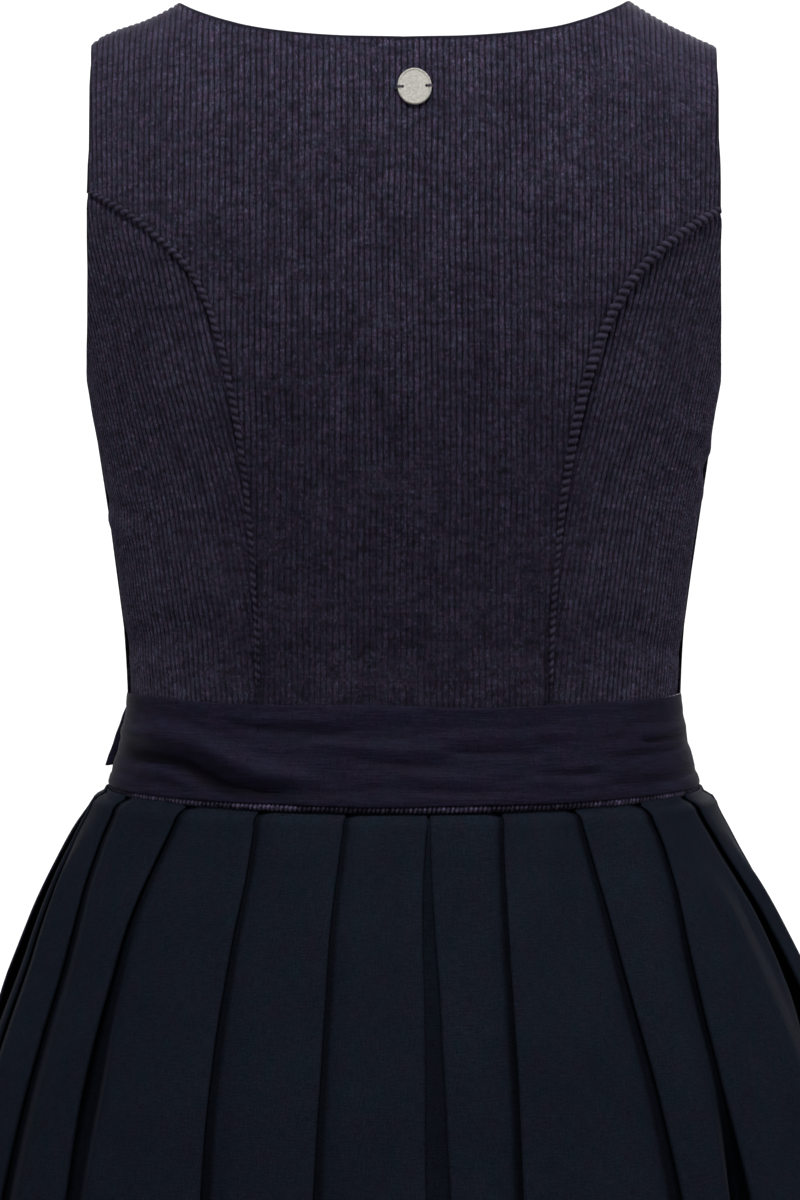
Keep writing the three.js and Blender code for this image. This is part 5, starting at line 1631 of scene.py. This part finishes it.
def apron_piece():
    rows, cols = ((84, 300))
    t = np.linspace(0, 1, rows)
    levels = APRON[0, 0] + (APRON_HEM - APRON[0, 0]) * (0.4 * t + 0.6 * t**1.7)
    u = np.linspace(0, 1, cols)
    P = []
    for lv in levels[::-1]:
        line = catmull(APRON, row_of_apron(lv))
        ring = skirt_ring(min(lv, WAIST_SIDE))
        g0 = float(np.interp(math.radians(line[2]), ring["a"], ring["g"]))
        g1 = 2 * ring["total"] - float(np.interp(math.radians(-line[1]), ring["a"], ring["g"]))
        down = np.clip((APRON[0, 0] - lv) / 554, 0, 1)
        swell = np.sin(math.pi * u) ** 0.25
        slow = u + 0.022 * np.sin(2 * math.pi * u * 2.3 + 1.2) + 0.012 * np.sin(2 * math.pi * u * 5.1 + 0.4)
        wave = 0.5 - 0.5 * np.cos(2 * math.pi * 8 * slow + 0.5 * np.sin(6 * u + 3 * down))
        wave2 = 0.5 - 0.5 * np.cos(2 * math.pi * 21 * slow + 1.3)
        fine = 0.5 - 0.5 * np.cos(2 * math.pi * 47 * slow + 0.8 * np.sin(9 * u))
        near = np.exp(-(((APRON[0, 0] - lv) / 70) ** 1.0))
        off = line[3] + line[4] * 1.75 * swell * wave ** 0.85
        off = off + swell * (1.6 * wave2 * (0.35 + 0.65 * near) + 1.1 * fine * near)
        edge = np.minimum(u, 1 - u) * (g1 - g0)
        off = off + 1.3 * noise(lv / 26 + 0 * u, u * 0 + 2.0, 71) * smooth((40 - edge) / 40) * smooth((-lv - 410) / 40)
        x, y, ang = on_skirt(ring, lerp(g0, g1, u), off)
        z = lv + 0 * x
        P.append(np.stack([x, y, z], -1))
    P = np.array(P)
    mid = P[rows // 2]
    far = np.concatenate([[0], np.cumsum(np.linalg.norm(np.diff(mid, axis=0), axis=1))])
    U = np.broadcast_to(far, P.shape[:2])
    n = grid_normals(P)
    edge = np.minimum(U, far[-1] - U)
    hem = np.maximum(smooth((12 - edge) / 1.2), smooth((APRON_HEM + 28 - P[..., 2]) / 1.2))
    outer = P + n * (0.3 + 0.12 * hem)[..., None]
    inner = P - n * (0.3 + 0.35 * hem)[..., None]
    verts, loops, sizes = shell(outer, inner)
    loops = fix_winding(verts, loops, sizes)
    uv = np.stack([U, P[..., 2]], -1).reshape(-1, 2) / 100
    return make("apron_cloth_panel", verts, loops, sizes, MATS["apron"], "apron_panel", np.vstack([uv, uv]))


apron = apron_piece()

# ---------------------------------------------------------------------- bow
_bow_a = math.radians(BOW_ANGLE)


def tie_point(deg, share, off):
    a = np.array([math.radians(deg)])
    lv = lerp(band_top(a), waist_level(a) + BAND_FOOT, share)
    g = np.array([girth_at_angle(lv[0], a[0])])
    rw = row_of(lv)
    return (skin(g, rw) + skin_normal(g, rw) * (tie_off(share, a) + off)[..., None])[0]


knot_at = tie_point(BOW_ANGLE, 0.4, 0)
knot_at[2] = BOW_LEVEL
_x, _y, _g, _a = torso_ring(BOW_LEVEL)
_k = int(np.argmin(np.abs(_a - abs(_bow_a))))
_tx, _ty = _x[_k + 1] - _x[_k - 1], _y[_k + 1] - _y[_k - 1]
knot_out = np.array([-_ty, -_tx, 0]) / math.hypot(_tx, _ty)
if knot_out @ (knot_at * [1, 1, 0]) < 0:
    knot_out = -knot_out
knot_along = np.array([-knot_out[1], knot_out[0], 0])  # towards the wearer's side


def bow_point(along, out, up):
    along, out, up = np.broadcast_arrays(np.asarray(along, float), np.asarray(out, float), np.asarray(up, float))
    return knot_at + along[..., None] * knot_along + out[..., None] * knot_out + up[..., None] * np.array([0, 0, 1.0])


def thin_cloth(name, cad, mid, half, material, uv_scale=1.0, hem=None):
    n = grid_normals(mid)
    for _ in range(2):
        n[:, 1:-1] = unit(n[:, :-2] + 2 * n[:, 1:-1] + n[:, 2:])
    outer, inner = mid + n * half, mid - n * half
    verts, loops, sizes = shell(outer, inner)
    loops = fix_winding(verts, loops, sizes)
    R, C = mid.shape[:2]
    fu = np.concatenate([[0], np.cumsum(np.linalg.norm(np.diff(mid[R // 2], axis=0), axis=1))])
    fv = np.concatenate([[0], np.cumsum(np.linalg.norm(np.diff(mid[:, C // 2], axis=0), axis=1))])
    uv = np.stack(np.broadcast_arrays(fu[None, :], fv[:, None]), -1).reshape(-1, 2) / 100
    return make(name, verts, loops, sizes, MATS[material], cad, np.vstack([uv, uv]))


def bow_loop(name, cad, way, reach, droop, wide, skew, belly, seed):
    """A loop: out along the body, round the end and back, gathered at the knot."""
    start = 8.5
    n = 34
    t = np.linspace(0, 1, n)
    near = 5 + 3 * np.sin(math.pi * t * 0.9)
    far = lerp(15, 13, t) + belly * 0.55 * np.sin(math.pi * t) ** 0.8
    a0, b0 = near[-1], far[-1]
    arc = np.linspace(-math.pi / 2, math.pi / 2, 12)[1:-1]
    turn_x = (reach - 4) + 4.6 * np.cos(arc)
    turn_y = (a0 + b0) / 2 + (b0 - a0) / 2 * np.sin(arc)
    al = np.concatenate([lerp(start, reach - 4, t), turn_x, lerp(reach - 4, start, t)])
    off = np.concatenate([near, turn_y, far[::-1]])
    layer = np.concatenate([np.zeros(n), np.full(len(arc), 0.5), np.ones(n)])
    v = np.linspace(-0.5, 0.5, 26)
    V, AL = np.meshgrid(v, al, indexing="ij")
    OFF = np.broadcast_to(off, V.shape)
    T = np.clip((AL - start) / (reach - start), 0, 1.1)
    width = lerp(15, wide, smooth(np.clip(T * 1.5, 0, 1)))
    gather = (1 - smooth(T / 0.85)) * 1.9 + 0.35
    L = np.broadcast_to(layer, V.shape)
    fold = gather * np.cos(2 * math.pi * (3.2 * V + 0.25 * np.sin(3 * T + seed)) + 2.2 * L + seed)
    lip = 1.6 * (2 * V) ** 2 * T * (L - 0.5) * 2
    mid = bow_point(
        way * (AL - V * skew * T * 2 * 0.5 * 2 * 0.5),
        OFF + fold * 0.8 + lip + 0.5 * noise(AL / 14, V * 3 + L * 5, seed),
        -droop * T * T + V * width + 0.6 * noise(AL / 18, V * 2, seed + 3) * T,
    )
    return thin_cloth(name, cad, mid, 0.42, "tie")


bow_side = bow_loop("bow_loop_outer", "bow_loop_side", 1, 60, 5, 35, 14, 15, 1)
bow_front = bow_loop("bow_loop_inner", "bow_loop_front", -1, 78, 14, 42, 8, 15, 4)


def bow_knot():
    a = np.linspace(0, 2 * math.pi, 56, endpoint=False)
    v = np.linspace(-1, 1, 30)
    V, A = np.meshgrid(v, a, indexing="ij")
    r = np.sqrt(np.maximum(0.02, 1 - 0.72 * np.abs(V) ** 2.4))
    fold = 0.07 * np.cos(5 * A + 2.6 * V + 0.6) * (1 - 0.5 * np.abs(V)) + 0.04 * np.cos(11 * A - 3 * V)
    p = bow_point(9.3 * (r + fold) * np.cos(A), 10.6 + 7.2 * (r + fold) * np.sin(A), 14 * V + 1.2 * np.cos(A * 2 + 1))
    R, C = V.shape
    q = quads(R, C, 0, True)
    verts = p.reshape(-1, 3)
    loops = np.concatenate([q.ravel(), np.arange(C)[::-1], (R - 1) * C + np.arange(C)])
    sizes = np.concatenate([np.full(len(q), 4), [C, C]])
    loops = fix_winding(verts, loops, sizes)
    uv = np.stack([A * 8, V * 14], -1).reshape(-1, 2) / 100
    return make("bow_centre_knot", verts, loops, sizes, MATS["tie"], "bow_knot", uv)


knot_piece = bow_knot()


def tail(name, cad, aside, long, wide, off, seed):
    rows, cols = 70, 22
    t = np.linspace(0, 1, rows)
    v = np.linspace(-0.5, 0.5, cols)
    P = []
    for tt in t[::-1]:
        ease3, ease5 = smooth(min(1, tt * 3)), smooth(min(1, tt * 5))
        drop = 17 + long * tt + v * 22 * smooth((tt - 0.6) / 0.4)
        level = BOW_LEVEL - drop
        pts = []
        for vv, lv in zip(v, level):
            ring = skirt_ring(min(lv, WAIST_SIDE))
            middle = -float(np.interp(abs(_bow_a), ring["a"], ring["g"])) + aside * min(1, tt * 4 + 0.15)
            w = lerp(15, wide, ease5)
            wave = catmull(APRON, row_of_apron(min(lv, APRON[0, 0])))[4]
            base = lerp(10.5, 3.6 + 2 * wave, ease3)
            curl = 3.2 * math.cos(2 * math.pi * vv) * ease3
            soft = 1.2 * math.sin(tt * 9 + seed) * math.cos(math.pi * vv) + (1 - ease5) * 1.2 * math.cos(2 * math.pi * 3 * vv + seed)
            o = base + lerp(off * 0.42 - 3, off - 6, ease3) + curl + soft
            x, y, _ = on_skirt(ring, np.array([middle + vv * w]), np.array([o]))
            pts.append((x[0], y[0], lv))
        P.append(pts)
    return thin_cloth(name, cad, np.array(P), 0.42, "tie")


tail_side = tail("tie_end_side", "tie_tail_side", 17, 395, 44, 14, 0.5)
tail_front = tail("tie_end_front", "tie_tail_front", -19, 430, 44, 22, 2.1)


# -------------------------------------------------------------------- badge
def badge_piece():
    """An oval plate with a raised rim, a bare face and a hole at each side, held by dark thread."""
    level, bx, half, tall = -59.2, 5.3, 8.7, 10.1
    row = float(row_of(level))
    g = ring_girth(row, "x", bx, False)
    at = skin(np.array([g]), np.array([row]))[0]
    out = skin_normal(np.array([g]), np.array([row]))[0]
    up = np.array([math.sin(math.radians(-2.4)), 0, 1.0])
    up = unit(up - out * (up @ out))
    right = np.cross(up, out)
    hole_at, hole_r = 6.2, 0.85
    steps = 72
    a = np.linspace(0, 2 * math.pi, steps, endpoint=False)
    # outline rings of the face from the edge inwards: share of the size, height
    rim = [(0.985, 0.0), (1.0, 0.18), (1.0, 0.95), (0.985, 1.2), (0.95, 1.32), (0.905, 1.3), (0.88, 1.12), (0.86, 1.06)]
    verts, faces = [], []
    for share, h in rim:
        for t in a:
            verts.append((half * share * math.cos(t), tall * share * math.sin(t), h))
    for k in range(len(rim) - 1):
        for i in range(steps):
            j = (i + 1) % steps
            faces.append([k * steps + i, k * steps + j, (k + 1) * steps + j, (k + 1) * steps + i])
    inner = len(verts) - steps
    back0 = 0
    m = 16
    tops, bottoms = [], []
    for side in (1, -1):
        top = len(verts)
        for i in range(m):
            t = 2 * math.pi * i / m
            verts.append((side * hole_at + hole_r * math.cos(t), hole_r * math.sin(t), 1.06))
        bottom = len(verts)
        for i in range(m):
            t = 2 * math.pi * i / m
            verts.append((side * hole_at + hole_r * math.cos(t), hole_r * math.sin(t), 0.0))
        for i in range(m):
            j = (i + 1) % m
            faces.append([top + i, top + j, bottom + j, bottom + i])
        tops.append(top)
        bottoms.append(bottom)

    def halves(ring0, holes, flip):
        """The face between an oval ring and its two holes, as an upper and a lower polygon."""
        q = steps // 4
        res = []
        upper = [ring0 + i for i in range(0, steps // 2 + 1)]  # right end over the top to the left end
        left, right_ = holes[1], holes[0]
        # left hole from its outer (pi) over the top to its inner (0), then the right one from pi to 0
        upper += [left + i for i in range(m // 2, -1, -1)]
        upper += [right_ + i for i in range(m // 2, -1, -1)]
        lower = [ring0 + i % steps for i in range(steps // 2, steps + 1)]
        lower += [right_ + (m - i) % m for i in range(0, m // 2 + 1)]
        lower += [left + (m - i) % m for i in range(0, m // 2 + 1)]
        for f in (upper, lower):
            res.append(f[::-1] if flip else f)
        return res

    faces += halves(inner, tops, False)
    faces += halves(back0, bottoms, True)
    v = np.array(verts, float)
    world = at + v[:, :1] * right + v[:, 1:2] * up + (v[:, 2:] + 0.75) * out
    loops = np.array([i for f in faces for i in f])
    sizes = np.array([len(f) for f in faces])
    loops = fix_winding(world, loops, sizes)
    o = make("plate_badge", world, loops, sizes, MATS["plate"], "badge", v[:, :2] / 100, flat=True)
    # dark thread from each hole to the cloth beyond the plate's edge
    for side, tag in ((1, "r"), (-1, "l")):
        for k, dy in enumerate((-0.28, 0.3)):
            pts = []
            for t in np.linspace(0, 1, 14):
                x = lerp(side * hole_at, side * (half + 0.9), t)
                hgt = 0.9 + 1.35 * math.sin(math.pi * min(1, t * 1.05)) ** 0.7 - 1.6 * t**5
                pts.append(at + x * right + (dy + 0.25 * (t - 0.5) * (1 if k else -1)) * up + (hgt + 0.3) * out)
            ver, lo, si = tube(np.array(pts), np.tile(out, (14, 1)), 0.28, 8)
            lo = fix_winding(ver, lo, si)
            make(f"badge_thread_{tag}{k}", ver, lo, si, MATS["thread"], None)
    return o


badge = badge_piece()


# --------------------------------------------------------------------- stage
def stage():
    s = bpy.context.scene
    floor_mat = bpy.data.materials.new("floor")
    floor_mat.use_nodes = True
    b = floor_mat.node_tree.nodes["Principled BSDF"]
    b.inputs["Base Color"].default_value = (0.42, 0.42, 0.42, 1)
    b.inputs["Roughness"].default_value = 0.95
    b.inputs["Specular IOR Level"].default_value = 0.0
    b.inputs["Emission Color"].default_value = (1, 1, 1, 1)
    b.inputs["Emission Strength"].default_value = 0.72
    # a floor that curves up into a wall all round
    z, reach, bend = -1.3, 13.0, 3.0
    profile = [(0.0, z), (reach - bend, z)]
    profile += [(reach - bend + bend * math.sin(t), z + bend * (1 - math.cos(t))) for t in np.linspace(0.1, math.pi / 2, 14)]
    profile += [(reach, 13.0)]
    steps = 96
    pts = [(0.0, 0.0, z)]
    for r, h in profile[1:]:
        pts += [(r * math.cos(a), r * math.sin(a), h) for a in np.linspace(0, 2 * math.pi, steps, endpoint=False)]
    faces = [(0, 1 + k, 1 + (k + 1) % steps) for k in range(steps)]
    for i in range(len(profile) - 2):
        o = 1 + i * steps
        faces += [(o + k, o + steps + k, o + steps + (k + 1) % steps, o + (k + 1) % steps) for k in range(steps)]
    me = bpy.data.meshes.new("floor")
    me.from_pydata(pts, [], faces)
    me.polygons.foreach_set("use_smooth", [True] * len(faces))
    me.materials.append(floor_mat)
    floor = bpy.data.objects.new("floor", me)
    s.collection.objects.link(floor)
    w = bpy.data.worlds.new("studio")
    s.world = w
    w.use_nodes = True
    w.node_tree.nodes["Background"].inputs[0].default_value = (1, 1, 1, 1)
    w.node_tree.nodes["Background"].inputs[1].default_value = 0.5

    def area(name, at, to, size, power):
        li = bpy.data.lights.new(name, "AREA")
        li.shape = "RECTANGLE"
        li.size, li.size_y = size
        li.energy = power
        o = bpy.data.objects.new(name, li)
        d = np.array(to, float) - np.array(at, float)
        from mathutils import Vector

        o.location = at
        o.rotation_euler = Vector(d).to_track_quat("-Z", "Y").to_euler()
        s.collection.objects.link(o)
        o.visible_camera = False

    area("key", (-0.05, -0.9, 1.35), (0, 0, -0.3), (0.7, 0.4), 190)
    area("side_l", (-1.8, -0.75, 0.5), (0, 0, -0.35), (0.9, 1.4), 58)
    area("side_r", (1.8, -0.75, 0.5), (0, 0, -0.35), (0.9, 1.4), 96)
    area("far", (0.3, 2.1, 0.8), (0, 0, -0.5), (1.4, 1.2), 180)

    cam = bpy.data.cameras.new("photo")
    cam.sensor_width = 36
    cam.sensor_fit = "AUTO"
    cam.lens = 36 * 2000 / 636
    cam.clip_start, cam.clip_end = 0.05, 100
    c = bpy.data.objects.new("photo", cam)
    c.location = (-0.0021, -2.0, -0.307)
    c.rotation_euler = (math.pi / 2, 0, 0)
    s.collection.objects.link(c)
    s.camera = c
    s.view_settings.view_transform = "Standard"
    s.view_settings.look = "None"
    s.view_settings.exposure = 0
    s.view_settings.gamma = 1


stage()
